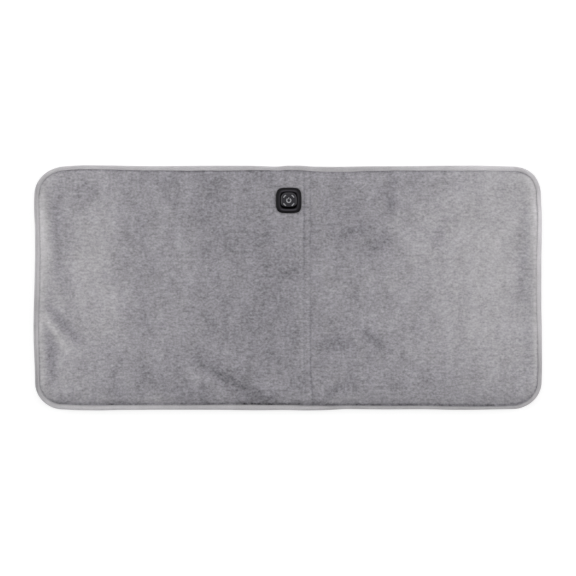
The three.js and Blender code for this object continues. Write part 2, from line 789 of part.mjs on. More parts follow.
for (const side of [-1, 1]) {
  const name = side < 0 ? "left" : "right";
  const nearX = foldX + side * heaterToFold;
  const joinX = nearX - (side * sleeveLength) / 3;
  const sleeveEnds = [joinX + (side * sleeveLength) / 2, joinX - (side * sleeveLength) / 2];
  const returnX = nearX - side * leadToHeater;
  const supplyStart = at(nearX, thermostatBack + fitGap);
  const returnStart = [at(joinX - side * layerGap, heaterFront), at(returnX, heaterFront)];
  const supplyHole = [controlX + side * supplyHoleX, controlY + supplyHoleY];
  const returnHole = [controlX + side * returnHoleX, controlY + returnHoleY];
  const supplyEnd = [at(...supplyHole), at(...supplyHole, riserTop)];
  const returnEnd = [at(...returnHole), at(...returnHole, riserTop)];
  const crossSupply = controlY + supplyHoleY - crossingSpread;
  const crossReturn = crossSupply - crossingSpread;

  const wire = tube(heaterRoute(side, nearX, joinX), wireRadius, wireSides);
  place(cushion, `${name}_heating_wire`, wire, heatingWire);
  place(cushion, `${name}_thermostat`, makeThermostat(nearX), sleeveWhite);
  place(cushion, `${name}_wire_sleeve`, makeSleeve(...sleeveEnds), brass);
  if (side < 0) {
    placeLead("left_supply_lead", [supplyStart, at(nearX, controlY - baseHalf), ...supplyEnd]);
    placeLead("left_return_lead", [...returnStart, at(returnX, controlY - baseHalf), ...returnEnd]);
  } else {
    const [nearFold, pastFold] = [foldX - foldGap / 2, foldX + foldGap / 2];
    const bendX = stitchX - creaseShoulder;
    placeLead("crossing_supply_lead", [at(nearFold, crossSupply), at(bendX, crossSupply), ...supplyEnd]);
    placeLead("crossing_return_lead", [at(nearFold, crossReturn), at(bendX, crossReturn), ...returnEnd]);
    placeLead("right_supply_lead", [supplyStart, at(nearX, crossSupply), at(pastFold, crossSupply)]);
    placeLead("right_return_lead", [...returnStart, at(returnX, crossReturn), at(pastFold, crossReturn)]);
  }
}

// Inlet

const inletFoot = rimFloor + bottomCover + layerGap;
const inletMiddle = inletFoot + inletHeight / 2;
const blockBack = halfDepth - rimInset;
const blockFront = blockBack - inletDepth;
const reliefFront = halfDepth - ringInsets[coverRingCount] + layerGap;
const socketBack = halfDepth - socketDepth;

function makeInletBlock() {
  const middleY = (blockBack + blockFront) / 2;
  const block = box(inletWidth, inletDepth, inletFoot, inletFoot + inletHeight, inletX, middleY);
  const noseFront = blockFront + inletLeadGrip;
  const nose = slotBlock(noseWidth, inletHeight, socketRound, noseFront, halfDepth, inletX, inletMiddle);
  const reliefEnds = [at(inletX, noseFront, inletMiddle), at(inletX, reliefFront, inletMiddle)];
  const relief = tube(reliefEnds, reliefRadius, screwSteps);
  const socket = slotBlock(
    socketWidth + 2 * guideGap,
    socketHeight + 2 * guideGap,
    socketRound + guideGap,
    socketBack - fitGap,
    halfDepth + overrun,
    inletX,
    inletMiddle,
  );
  const boreEnds = [at(inletX, socketBack, inletMiddle), at(inletX, reliefFront - overrun, inletMiddle)];
  const bore = tube(boreEnds, inletLeadRadius + fitGap, screwSteps);
  return cut(join(block, nose, relief), socket, bore);
}

function makeSocketShell() {
  const outer = slotBlock(socketWidth, socketHeight, socketRound, socketBack, halfDepth, inletX, inletMiddle);
  const bore = slotBlock(
    socketWidth - 2 * socketWall,
    socketHeight - 2 * socketWall,
    socketRound - socketWall,
    socketBack - overrun,
    halfDepth + overrun,
    inletX,
    inletMiddle,
  );
  return cut(outer, bore);
}

function makeTongue() {
  const inset = socketWall + guideGap;
  const rootBack = socketBack + tongueRoot;
  const root = slotBlock(
    socketWidth - 2 * inset,
    socketHeight - 2 * inset,
    socketRound - inset,
    socketBack,
    rootBack,
    inletX,
    inletMiddle,
  );
  const [bladeFoot, bladeHead] = [-1, 1].map((sign) => inletMiddle + (sign * tongueThickness) / 2);
  const bladeLength = tongueReach + tongueRoot / 2;
  const bladeY = rootBack + tongueReach - bladeLength / 2;
  return join(root, box(tongueWidth, bladeLength, bladeFoot, bladeHead, inletX, bladeY));
}

// From the socket the lead sinks to the level of the wires and turns up through the base.
function makeInletLead() {
  const leadLevel = bottomCover + lowerWaddingTop + layerGap + inletLeadRadius;
  const holeY = controlY + inletHoleY;
  const corners = [
    at(inletX, blockFront + inletLeadGrip, inletMiddle),
    at(inletX, reliefFront, inletMiddle),
    at(inletX, controlY + baseHalf, leadLevel),
    at(inletX, holeY, leadLevel),
    at(inletX, holeY, riserTop),
  ];
  return tube(roundedRoute(corners, leadBend), inletLeadRadius, leadSides);
}

place(cushion, "inlet_block", makeInletBlock(), blackPlastic);
place(cushion, "inlet_socket_shell", makeSocketShell(), steel);
place(cushion, "inlet_contact_tongue", makeTongue(), blackPlastic);
place(cushion, "inlet_lead", makeInletLead(), blackPlastic);

// Layers and binding of the two halves, with the openings that the pieces above need.

const wellHalf = baseHalf + layerGap;
const throatHalf = skirtHalf + layerGap;
const well = squareStack([[wellHalf, baseFoot - overrun], [wellHalf, overrun]]);
const throat = squareStack([[throatHalf, baseFoot], [throatHalf, overrun]]);
const postHoles = screwCorners.map(([x, y]) => disc(screwPostRadius + layerGap, baseFoot, overrun, x, y));
for (const tool of [well, throat, ...postHoles]) tool.translate(controlX, controlY, coverTopLevel);

// The lead from the inlet lies in a slot through the layers.
const slotHalf = inletLeadRadius + 2 * layerGap;
const slotFront = controlY + inletHoleY - slotHalf;
const leadSlot = box(
  2 * slotHalf,
  halfDepth - slotFront,
  -overrun,
  coverTopLevel,
  inletX,
  (halfDepth + slotFront) / 2,
);
const inletWindow = slotBlock(
  noseWidth + 2 * fitGap,
  inletHeight + 2 * fitGap,
  socketRound + fitGap,
  halfDepth - bindingWidth / 2,
  halfDepth + overrun,
  inletX,
  inletMiddle,
);

for (const side of [-1, 1]) {
  const name = side < 0 ? "left" : "right";
  const wadding = (foot, head) => layer(side, coverRingCount, foot, head);
  const pocket = box(
    thermostatWidth + 2 * layerGap,
    thermostatLength + 2 * layerGap,
    thermostatLevel,
    thermostatLevel + thermostatHeight / 2 + layerGap,
    foldX + side * heaterToFold,
    (thermostatFront + thermostatBack) / 2,
  );
  const bottom = layer(side, 0, bottomCoverFoot, bottomCoverHead);
  let lower = wadding(inner(lowerWaddingFoot), inner(lowerWaddingTop));
  let heater = wadding(inner(clothFoot), inner(clothTop));
  let upper = cut(wadding(inner(upperWaddingFoot), upperWaddingHead), pocket);
  let top = layer(side, 0, topCoverFoot, topCoverHead);
  let binding = bindingOf(side);
  if (side < 0) {
    lower = cut(lower, leadSlot);
    heater = cut(heater, leadSlot);
    upper = cut(upper, leadSlot, well);
    top = cut(top, throat, ...postHoles);
    binding = cut(binding, inletWindow);
  }
  place(cushion, `${name}_bottom_cover`, bottom, backing);
  place(cushion, `${name}_lower_wadding`, lower, waddingWhite);
  place(cushion, `${name}_heater_cloth`, heater, cloth);
  place(cushion, `${name}_upper_wadding`, upper, waddingWhite);
  place(cushion, `${name}_top_cover`, top, plush);
  place(cushion, `${name}_edge_binding`, binding, tape);
}

export default cushion;
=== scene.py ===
import json
import math

import bmesh
import bpy
import numpy as np
from mathutils import Matrix, Vector, noise
from mathutils.bvhtree import BVHTree


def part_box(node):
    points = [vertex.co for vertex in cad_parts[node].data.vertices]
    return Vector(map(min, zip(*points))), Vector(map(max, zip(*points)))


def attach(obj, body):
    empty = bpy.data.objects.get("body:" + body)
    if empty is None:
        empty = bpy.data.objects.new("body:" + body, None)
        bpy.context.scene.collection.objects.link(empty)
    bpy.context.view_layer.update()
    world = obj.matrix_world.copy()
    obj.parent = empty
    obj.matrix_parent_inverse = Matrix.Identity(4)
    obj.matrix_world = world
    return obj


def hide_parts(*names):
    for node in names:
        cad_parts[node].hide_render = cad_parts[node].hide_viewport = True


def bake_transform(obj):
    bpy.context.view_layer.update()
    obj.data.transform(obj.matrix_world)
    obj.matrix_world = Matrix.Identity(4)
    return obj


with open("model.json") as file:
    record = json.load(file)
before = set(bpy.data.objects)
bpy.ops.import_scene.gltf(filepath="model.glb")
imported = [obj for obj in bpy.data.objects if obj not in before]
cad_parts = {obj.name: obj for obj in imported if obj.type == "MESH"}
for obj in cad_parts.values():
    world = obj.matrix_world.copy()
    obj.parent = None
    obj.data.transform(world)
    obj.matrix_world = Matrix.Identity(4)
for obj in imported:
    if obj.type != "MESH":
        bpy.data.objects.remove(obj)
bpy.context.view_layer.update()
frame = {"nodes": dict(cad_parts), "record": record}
scene = bpy.context.scene

# A thin heated pad seen from straight above: plush on top, a light binding round the edge, a sewn
# fold and a black push-button control. Lengths are metres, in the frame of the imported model.

MM = 0.001

# Outline and heights of the layers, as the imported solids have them.
HALF_X, HALF_Y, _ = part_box("right_edge_binding")[1]
CORNER = 50 * MM
RIM_INSET = HALF_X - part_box("right_top_cover")[1].x
PINCHED = 7.6 * MM
CROWN_REACH = 34 * MM
RIM_FLOOR = 1.1 * MM
BOTTOM_COVER = 1 * MM
TOP_COVER = 1.7 * MM
CORE = 10 * MM
LAYER_GAP = 0.3 * MM
FOLD_X = 35.5 * MM
STITCH_OFFSET = 6 * MM
CREASE_SHOULDER = 5.5 * MM
CREASE_DEPTH = 1.5 * MM
BAND_DIP = 0.5 * MM
BINDING_HEIGHT = 5.3 * MM

# The inlet lifts the back edge.
INLET_X = 9 * MM
INLET_PLATEAU = 11 * MM
INLET_RUN_OUT = FOLD_X - 0.15 * MM - INLET_X - INLET_PLATEAU
INLET_LIFT = 5.1 * MM

# The control's middle, and the half widths of the cover's opening for it and the flat round that.
control_low, control_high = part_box("control_bezel")
CONTROL_X = (control_low.x + control_high.x) / 2
CONTROL_Y = (control_low.y + control_high.y) / 2
OPENING_HALF = 20.8 * MM
FLAT_HALF = 27 * MM
SQUARENESS = 4

# The fold's stitches drift to the right towards the front edge, and the cloth beside them does too.
SLANT = 4.5 * MM
SLANT_START = 135 * MM
SLANT_RUN = 90 * MM
SLANT_REACH = 45 * MM

# How far the edge stands off the straight outline: [run along it, outwards], in millimetres. The
# run starts at the left end of the front side and goes round by the right.
EDGE_WAVES = [
    (0, -1.5), (26, 0.0), (70, 0.6), (104, -0.3), (182, -0.8), (286, -0.7), (338, 0.1), (364, 0.3),
    (410, -0.3), (442, 0.7), (470, 0.4), (494, -0.5), (520, -2.2), (546, -1.8), (598, -1.3),
    (660, -1.8), (690, -1.3), (715, -0.6), (754, -0.6), (790, -1.3), (832, -2.1), (858, -2.5),
    (884, -0.7), (910, 1.2), (936, 1.9), (1010, 1.6), (1040, 0.8), (1100, 0.7), (1150, 0.8),
    (1196, 1.7), (1222, 1.4), (1248, 0.2), (1274, -1.0), (1300, -0.2), (1326, -1.8), (1352, -1.1),
    (1404, 0.4), (1480, 0.1), (1534, -0.6), (1612, -0.9), (1664, -1.9), (1712, -1.4), (1730, 0.4),
    (1760, 0.4), (1774, -1.8), (1820, 0.1), (1898, 0.3), (1976, -0.5), (2028, -0.6), (2080, 0.7),
    (2132, 1.1), (2158, -0.2), (2184, -2.7), (2210, -2.4), (2236, 0.0), (2262, 1.9), (2288, 1.5),
    (2314, 0.0), (2366, -0.2), (2418, 1.0), (2470, 2.5), (2496, 2.9), (2522, 2.6), (2574, 0.5),
    (2626, -0.8), (2652, -1.7),
]

# Wrinkles of the plush: [from x, from y, to x, to y, half width, height], in millimetres.
WRINKLES = [
    (-438, -38, -386, -100, 7, -1.8), (-450, -46, -408, -116, 6, 2.1),
    (-425, 150, -423, 10, 9, -0.9), (-438, -84, -432, -176, 8, -1.7),
    (-172, -130, -84, -182, 6, -0.95), (-84, -182, -38, -199, 7, -0.5),
    (-190, -150, -110, -196, 10, 0.7), (66, -203, 116, -172, 6, -0.9), (58, -188, 98, -160, 9, 0.7),
    (133, -78, 190, -116, 7, -1.0), (70, -100, 112, -106, 9, -1.0), (192, -186, 194, -210, 6, -0.8),
    (98, 96, 140, 112, 12, -0.9), (150, 70, 182, 84, 11, -0.8), (186, 178, 196, 140, 9, -0.7),
    (-6, 26, 18, 34, 10, -0.7), (-240, 190, -196, 140, 9, -0.45), (-300, 175, -268, 120, 10, -0.6),
    (428, 70, 432, -20, 8, -0.7), (-330, -190, -250, -200, 8, -0.7),
    (250, -196, 330, -203, 7, -0.6),
]

# Patches where the brushed pile lies lighter and darker, with painted shade and highlight beside
# some wrinkles: [x, y, reach in x, reach in y, turn in degrees, lightness].
NAP_TONE_AND_PAINTED_SHADE = [
    (-428, 122, 9, 45, 0, -0.45), (-382, 162, 26, 46, -10, -0.75), (-300, 118, 16, 40, 0, -0.4),
    (-150, 165, 30, 50, 0, -0.35), (284, 85, 26, 45, 0, -0.55), (-330, -35, 22, 45, 0, 0.55),
    (-262, -60, 20, 45, 0, -0.4), (385, 20, 25, 70, 0, 0.4), (74, 25, 14, 35, 0, 0.4),
    (-250, 202, 150, 30, 0, -0.5), (230, 197, 80, 35, 0, -0.55), (430, 195, 50, 40, 0, 0.3),
    (-95, 15, 45, 50, 0, 0.4), (30, -5, 35, 45, 0, 0.25), (-270, -165, 140, 50, 0, -0.5),
    (260, -160, 240, 50, 0, -0.35), (-408, -130, 14, 34, 0, 0.4), (0, 0, 260, 420, 0, -0.9),
    (-120, 0, 190, 420, 0, -0.2), (410, 130, 120, 130, 0, 0.5), (0, -225, 520, 60, 0, -0.3),
    (-374, 60, 50, 120, -6, 0.75), (-452, 90, 12, 90, 0, 0.7), (-405, 40, 12, 120, 2, -0.55),
    (-272, 60, 34, 130, -4, -0.35), (-194, 55, 16, 75, 0, 0.3), (-110, 40, 70, 170, 0, -0.35),
    (-20, -40, 60, 150, 0, -0.3), (124, 130, 36, 48, 10, -0.5), (192, 165, 14, 34, -14, -0.5),
    (168, 80, 22, 22, 0, -0.45), (92, -104, 28, 18, 0, -0.55), (160, -96, 34, 16, -32, -0.5),
    (90, -190, 36, 16, 24, -0.25), (-120, -160, 60, 16, -31, -0.35), (-52, -196, 30, 12, -6, -0.35),
    (250, 100, 60, 80, 0, 0.35), (330, 40, 90, 150, 0, 0.55), (380, -120, 70, 70, 0, 0.35),
    (440, 105, 14, 60, 0, -0.45), (-248, -205, 45, 14, 0, 0.7), (-391, -178, 40, 22, 0, 0.4),
    (74, 140, 12, 26, 0, -0.5), (273, 90, 16, 22, 0, -0.4), (185, 8, 14, 20, 0, 0.5),
    (-10, -205, 24, 12, 0, 0.6), (182, -200, 24, 12, 0, 0.5), (95, -207, 35, 14, 0, 0.7),
    (-57, -206, 30, 12, 0, -0.5), (-39, 208, 25, 14, 0, -0.5), (80, 205, 45, 16, 0, -0.35),
    (164, 140, 12, 24, 0, -0.45), (52, 165, 14, 34, 0, 0.4), (-190, -188, 42, 13, 0, -0.6),
]

# How strong the painted highlight of the lit pile is on the rolled edge along the left and right
# side: [y, strength, reach], the places and the reach in millimetres.
LEFT_ROLL_HIGHLIGHT = [
    (-200, 1.9, 6), (-182, 1.8, 6), (-134, 2.1, 9), (-87, 2.5, 6), (-40, 1.3, 7), (25, 2.6, 12),
    (75, 3.0, 13), (125, 2.6, 13), (175, 1.7, 8), (200, 1.2, 6),
]
RIGHT_ROLL_HIGHLIGHT = [
    (-200, 0.9, 6), (-150, 1.6, 8), (-105, 2.3, 7), (-50, 2.0, 6), (25, 1.6, 8), (75, 2.4, 11),
    (125, 2.8, 12), (182, 2.5, 14),
]

# The tape and its seam round the pad, by the same run: [run in millimetres, width against the
# usual, lightness partly painted light, how dark the painted seam shadow beside it is].
RIM = [
    (0, 1.2, -0.2, 1.6), (130, 1.1, -0.2, 2.1), (230, 1.1, -0.7, 1.3), (350, 1.27, -0.6, 2.1),
    (410, 1.14, -0.6, 2.2), (465, 1.16, -0.8, 1.1), (505, 0.85, -1.2, 2.3), (740, 0.82, -1.1, 2.6),
    (800, 0.7, -1.2, 2.4), (885, 0.94, -0.7, 1.4), (935, 0.8, -1.0, 2.0), (1000, 0.87, 0.3, 1.8),
    (1070, 1.07, 0.6, 0.0), (1130, 1.08, 1.0, 0.0), (1170, 0.92, 1.5, 1.3), (1225, 0.85, 1.8, 3.2),
    (1270, 0.92, 0.6, 1.8), (1320, 0.97, 0.2, 2.7), (1370, 1.1, 0.9, 0.6), (1450, 1.16, 0.1, 1.2),
    (1560, 1.0, -0.4, 1.5), (1660, 1.27, -0.8, 1.2), (1790, 0.9, -0.5, 1.3),
    (1850, 1.13, -0.4, 1.8), (1940, 1.1, -0.1, 2.1), (1990, 1.0, -0.1, 1.1), (2150, 0.9, -0.1, 1.4),
    (2230, 1.0, -0.4, 1.0), (2350, 1.08, 0.4, 1.3), (2420, 1.13, 0.1, 1.1), (2465, 1.12, -0.7, 1.2),
    (2515, 1.08, 0.0, 1.3), (2605, 1.04, -1.2, 1.3), (2655, 1.17, -0.4, 1.6),
]

# How deep the two rows of fold stitches show, in their groove and in the painted shade along them:
# [y, left row, right row], places in millimetres.
FOLD_ROWS = [
    (-225, 0.1, 0.6), (-170, 0.1, 1.0), (-60, 0.1, 0.8), (-20, 0.0, 0.25), (30, 0.4, 0.1),
    (70, 1.0, 0.5), (120, 1.0, 0.4), (190, 0.7, 0.4),
]

# Finishes


def shade(red, green, blue):
    """A colour in screen levels, each from 10 to 255, as the shader's linear colour."""
    levels = [c / 255 for c in (red, green, blue)]
    return (*(((c + 0.055) / 1.055) ** 2.4 for c in levels), 1)


class Wire:
    """A number or colour inside a finish. Arithmetic on it adds Math nodes."""

    def __init__(self, nodes, socket):
        self.nodes = nodes
        self.socket = socket

    def __add__(self, other):
        return self.nodes.math("ADD", self, other)

    __radd__ = __add__

    def __sub__(self, other):
        return self.nodes.math("SUBTRACT", self, other)

    def __rsub__(self, other):
        return self.nodes.math("SUBTRACT", other, self)

    def __mul__(self, other):
        return self.nodes.math("MULTIPLY", self, other)

    __rmul__ = __mul__


class Nodes:
    """The nodes of a material or of the world."""

    def __init__(self, tree):
        self.tree = tree

    def join(self, socket, value):
        if isinstance(value, Wire):
            self.tree.links.new(value.socket, socket)
        else:
            socket.default_value = value

    def node(self, kind, settings=None, inputs=None, output=0):
        made = self.tree.nodes.new(kind)
        for name, value in (settings or {}).items():
            setattr(made, name, value)
        for socket, value in (inputs or {}).items():
            self.join(made.inputs[socket], value)
        return Wire(self, made.outputs[output])

    def math(self, operation, *values):
        return self.node("ShaderNodeMath", {"operation": operation}, dict(enumerate(values)))

    def by_ray(self, others, camera):
        """One value for rays from the camera and another for all other rays."""
        seen = self.node("ShaderNodeLightPath", output="Is Camera Ray")
        inputs = {"Value": seen, "To Min": others, "To Max": camera}
        return self.node("ShaderNodeMapRange", None, inputs)


class Finish(Nodes):
    """A material under way. What is the same all over is set on the shader's own sockets."""

    def __init__(self, name, **fixed):
        self.material = bpy.data.materials.new(name)
        self.material.use_nodes = True
        super().__init__(self.material.node_tree)
        self.shader = self.tree.nodes["Principled BSDF"]
        for socket, value in fixed.items():
            self.feed(socket.replace("_", " "), value)

    def feed(self, socket, value):
        self.join(self.shader.inputs[socket], value)

    def place(self, stretch=(1, 1, 1)):
        """The piece's own UV map, in metres along and across the cloth."""
        cloth = self.node("ShaderNodeUVMap", {"uv_map": "cloth"})
        return self.node("ShaderNodeMapping", None, {"Vector": cloth, "Scale": stretch})

    def solid_place(self, stretch=(1, 1, 1)):
        object_place = self.node("ShaderNodeTexCoord", output="Object")
        return self.node("ShaderNodeMapping", None, {"Vector": object_place, "Scale": stretch})

    def noise(self, place, scale, detail=2, roughness=0.6):
        """Noise around zero."""
        inputs = {"Vector": place, "Scale": scale, "Detail": detail, "Roughness": roughness}
        return self.node("ShaderNodeTexNoise", None, inputs) - 0.5

    def between(self, value, low, high):
        """0 below low, 1 above high, and a soft step between them."""
        inputs = {"Value": value, "From Min": low, "From Max": high}
        return self.node("ShaderNodeMapRange", {"interpolation_type": "SMOOTHSTEP"}, inputs)

    def mix(self, share, first, second):
        return self.node("ShaderNodeMix", {"data_type": "RGBA"}, {0: share, 6: first, 7: second}, 2)

    def scaled(self, colour, share):
        plain = colour if isinstance(colour, Wire) else colour[:3]
        inputs = {0: plain, "Scale": share}
        return self.node("ShaderNodeVectorMath", {"operation": "SCALE"}, inputs)

    def attribute(self, name):
        return self.node("ShaderNodeAttribute", {"attribute_name": name}, output="Fac")

    def wave(self, place, scale, way, **more):
        inputs = {"Vector": place, "Scale": scale, **more}
        return self.node("ShaderNodeTexWave", {"bands_direction": way}, inputs)

    def made(self, colour, tone, roughness, relief, depth):
        """Feeds the shader a colour scaled by a tone, a roughness and a relief."""
        self.feed("Base Color", self.scaled(colour, tone))
        self.feed("Roughness", roughness)
        inputs = {"Height": relief, "Distance": depth, "Strength": 1}
        self.feed("Normal", self.node("ShaderNodeBump", None, inputs))
        return self.material


def plush_finish():
    """Short brushed pile in heathered grey: tone from the pile's lie, painted highlights and shade.
    """
    finish = Finish("plush", Sheen_Weight=0.2, Sheen_Roughness=0.45, Specular_IOR_Level=0.15)
    place = finish.place((1, 1.25, 1))
    grain = finish.noise(place, 225)
    speck = finish.noise(place, 620)
    fibre = finish.noise(place, 1900)
    tuft = finish.noise(finish.place((1, 1.7, 1)), 92, roughness=0.5)
    cloud = finish.noise(finish.place((1, 0.55, 1)), 36, detail=3)
    tint = finish.noise(finish.place((1, 0.5, 1)), 45)
    # The attribute brings painted highlights and painted shade in with the pile's own tone; the
    # warmth follows it too.
    tone_and_painted_light = finish.attribute("tone_and_painted_light")
    tone = 0.968 + 0.2 * tone_and_painted_light + 0.96 * grain + 0.22 * speck + 0.65 * tuft + 0.55 * cloud
    warmth = finish.between(tone_and_painted_light + 2.4 * tint, -2.3, 2.0)
    base = finish.mix(warmth, shade(159.0, 156.7, 163.3), shade(160.7, 158.9, 160.8))
    relief = grain + 0.5 * speck + 0.4 * fibre
    return finish.made(base, tone, 0.92 + 0.1 * speck, relief, 0.7 * MM)


def binding_finish():
    """Light tape with fine ribs across it, and painted highlights and shade along its edges."""
    finish = Finish("binding_tape", Sheen_Weight=0.15, Sheen_Roughness=0.5, Specular_IOR_Level=0.2)
    place = finish.place()
    grain = finish.noise(place, 420, 3, 0.7)
    cloud = finish.noise(place, 40)
    ribs = finish.wave(place, 190, "X", Distortion=0.7, Detail=1)
    # The attribute adds painted highlights and painted shade along the tape.
    tone = 0.97 + 0.42 * grain + 0.2 * cloud + 0.06 * ribs + 0.2 * finish.attribute("tone_and_painted_light")
    base = finish.mix(0.5 + cloud, shade(191, 188, 191), shade(199, 197, 200))
    return finish.made(base, tone, 0.86 + 0.1 * grain, ribs + grain, 0.5 * MM)


def backing_finish():
    """Plain woven backing in a darker grey."""
    finish = Finish("backing", Sheen_Weight=0.1, Sheen_Roughness=0.5, Specular_IOR_Level=0.2)
    place = finish.place()
    weave = finish.wave(place, 160, "X") * finish.wave(place, 160, "Y")
    grain = finish.noise(place, 500)
    tone = 0.86 + 0.2 * weave + 0.4 * grain
    return finish.made(shade(112, 112, 117), tone, 0.88 + 0.1 * grain, weave, 0.5 * MM)


def moulded_finish(name, colour, roughness, grain_height, shade_and_gloss_heights=None, painted_highlight=0, **fixed):
    """Plastic or rubber with the fine texture of its mould. Shade and gloss heights: below the
    first the plastic is painted near black as shade, above the second it has its colour and a
    glossy coat. A painted highlight lightens it as the piece's attribute of that name says."""
    finish = Finish(name, **fixed)
    place = finish.solid_place()
    texture = finish.noise(place, 2600)
    wear = finish.noise(place, 90, 3)
    tone = 1 + 0.25 * wear
    if shade_and_gloss_heights:
        # Painted shade: the plastic darkens to near black below the first height.
        height = finish.node("ShaderNodeSeparateXYZ", None, {"Vector": place}, 2)
        share = finish.between(height, *shade_and_gloss_heights)
        tone = tone * (0.05 + 0.95 * share)
        finish.feed("Coat Weight", 0.4 * share)
    if painted_highlight:
        # Painted highlight, as strong as the piece's attribute says.
        tone = tone * (1 + painted_highlight * finish.attribute("painted_highlight"))
    roughness = roughness + 0.12 * wear + 0.08 * texture
    return finish.made(colour, tone, roughness, texture, grain_height)


def metal_finish(name, colour, roughness):
    """Plated metal with fine drawn lines."""
    finish = Finish(name, Metallic=1.0)
    lines = finish.noise(finish.solid_place((1, 0.05, 1)), 3200)
    return finish.made(colour, 1 + 0.2 * lines, roughness + 0.15 * lines, lines, 0.04 * MM)


def wadding_finish(name, colour, coarseness):
    """Loose or pressed fibres."""
    finish = Finish(name, Specular_IOR_Level=0.1)
    fibres = finish.noise(finish.solid_place(), coarseness, 4, 0.75)
    return finish.made(colour, 1 + 0.35 * fibres, 0.95 + 0.05 * fibres, fibres, 0.8 * MM)


PLUSH = plush_finish()
BINDING = binding_finish()
BACKING = backing_finish()
WADDING = wadding_finish("wadding", shade(240, 238, 232), 700)
HEATER_CLOTH = wadding_finish("heater_cloth", shade(220, 218, 210), 1400)
# The bezel's top ridge carries a painted highlight.
BEZEL = moulded_finish("bezel", shade(19.2, 18.2, 20.7), 0.45, 0.03 * MM, painted_highlight=2.6,
                       Specular_IOR_Level=0.1)
THREAD = moulded_finish("thread", shade(176, 174, 174), 0.7, 0.1 * MM, Sheen_Weight=0.2)
PLUSH_THREAD = moulded_finish("plush_thread", shade(120, 118, 124), 0.7, 0.1 * MM, Sheen_Weight=0.2)
GRIP = moulded_finish("grip_dots", shade(70, 70, 74), 0.55, 0.05 * MM)
# The cap is painted near black below 14.8 mm, as shade in the gap round it, and has a glossy coat
# above 17.2 mm.
GLOSS = moulded_finish("gloss_plastic", shade(50, 49, 53), 0.3, 0.01 * MM, (14.8 * MM, 17.2 * MM),
                       Specular_IOR_Level=0.0, Coat_Roughness=0.25)

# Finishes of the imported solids, by slot.
SLOT_FINISHES = {
    "gloss_plastic": GLOSS,
    "black_plastic": moulded_finish("black_plastic", shade(24, 24, 26), 0.45, 0.03 * MM,
                                    Specular_IOR_Level=0.2),
    "milky_plastic": moulded_finish("milky_plastic", shade(158, 158, 162), 0.4, 0.01 * MM),
    "heating_wire": moulded_finish("heating_wire", shade(168, 68, 46), 0.5, 0.03 * MM),
    "board": moulded_finish("board", shade(31, 90, 58), 0.4, 0.02 * MM),
    "sleeve": moulded_finish("sleeve", shade(216, 216, 210), 0.45, 0.02 * MM),
    "steel": metal_finish("steel", shade(184, 186, 192), 0.3),
    "brass": metal_finish("brass", shade(176, 141, 74), 0.35),
}


# Shape of the pad


def bell(away, reach):
    """1 in the middle, fading to 0 over about twice the reach."""
    return np.exp(-((away / reach) ** 2))


def smooth_step(value):
    share = np.clip(value, 0, 1)
    return share * share * (3 - 2 * share)


def read_table(table, at, period=None):
    """A table's columns at some places. Its first column is the place in millimetres."""
    places, *columns = np.array(table).T
    return [np.interp(at / MM, places, column, period=period) for column in columns]


def soft_noise(x, y, size, seed):
    """Smooth noise about as large as size, from -1 to 1, over arrays of places."""
    places = (Vector((a / size, b / size, seed)) for a, b in zip(x, y))
    return np.array([noise.fractal(place, 1.0, 2.0, 2) for place in places])


def from_rim(x, y):
    """How far a point lies inside the rim of the covers."""
    radius = CORNER - RIM_INSET
    px = np.abs(x) - (HALF_X - RIM_INSET - radius)
    py = np.abs(y) - (HALF_Y - RIM_INSET - radius)
    return np.where((px > 0) & (py > 0), radius - np.hypot(px, py), radius - np.maximum(px, py))


def crown(x, y):
    """How far the pad has risen from the pinched rim, from 0 to 1."""
    climb = np.clip((from_rim(x, y) - PINCHED) / (CROWN_REACH - PINCHED), 0, 1)
    return 1 - (1 - climb) ** 3


def rim_rise(x, y):
    """How far the underside leaves the seat towards the rim."""
    return RIM_FLOOR * (1 - crown(x, y))


def inlet_ramp(x):
    return np.clip(1 - (np.abs(x - INLET_X) - INLET_PLATEAU) / INLET_RUN_OUT, 0, 1)


def tape_lift(x, y):
    return INLET_LIFT * float(inlet_ramp(x)) if y > 0 else 0


def fill(x, y):
    """Share of its full height that the padding has."""
    lifted = np.where(y > 0, inlet_ramp(x) * (INLET_LIFT + RIM_FLOOR * crown(x, y)) / CORE, 0)
    return np.maximum(crown(x, y), lifted)


def crease(x, y):
    """How far the two rows of stitches draw the top down."""
    away = np.abs(x - FOLD_X)
    band = BAND_DIP + (CREASE_DEPTH - BAND_DIP) * np.minimum(away / STITCH_OFFSET, 1) ** 2
    return band * np.clip(1 - (away - STITCH_OFFSET) / CREASE_SHOULDER, 0, 1) * crown(x, y)


def bottom_foot(x, y):
    return 0.45 * MM + rim_rise(x, y) * 0.6


def bottom_head(x, y):
    return rim_rise(x, y) + BOTTOM_COVER


def layer_height(share):
    """Height of a layer's face between the covers: 0 on the bottom cover, 1 under the top one."""
    return lambda x, y: bottom_head(x, y) + share * CORE * fill(x, y)


def top_foot(x, y):
    return layer_height(1)(x, y) - crease(x, y) + LAYER_GAP


def by_side(x, y):
    """How much a point belongs to the left, right, front and back edge, from 0 to 1."""
    sides = (HALF_X + x, HALF_X - x, HALF_Y + y, HALF_Y - y)
    return [smooth_step(1 - away / CORNER) for away in sides]


SIDE_X = 2 * (HALF_X - CORNER)
SIDE_Y = 2 * (HALF_Y - CORNER)
ARC = CORNER * math.pi / 2
OUTLINE = 2 * (SIDE_X + SIDE_Y) + 4 * ARC


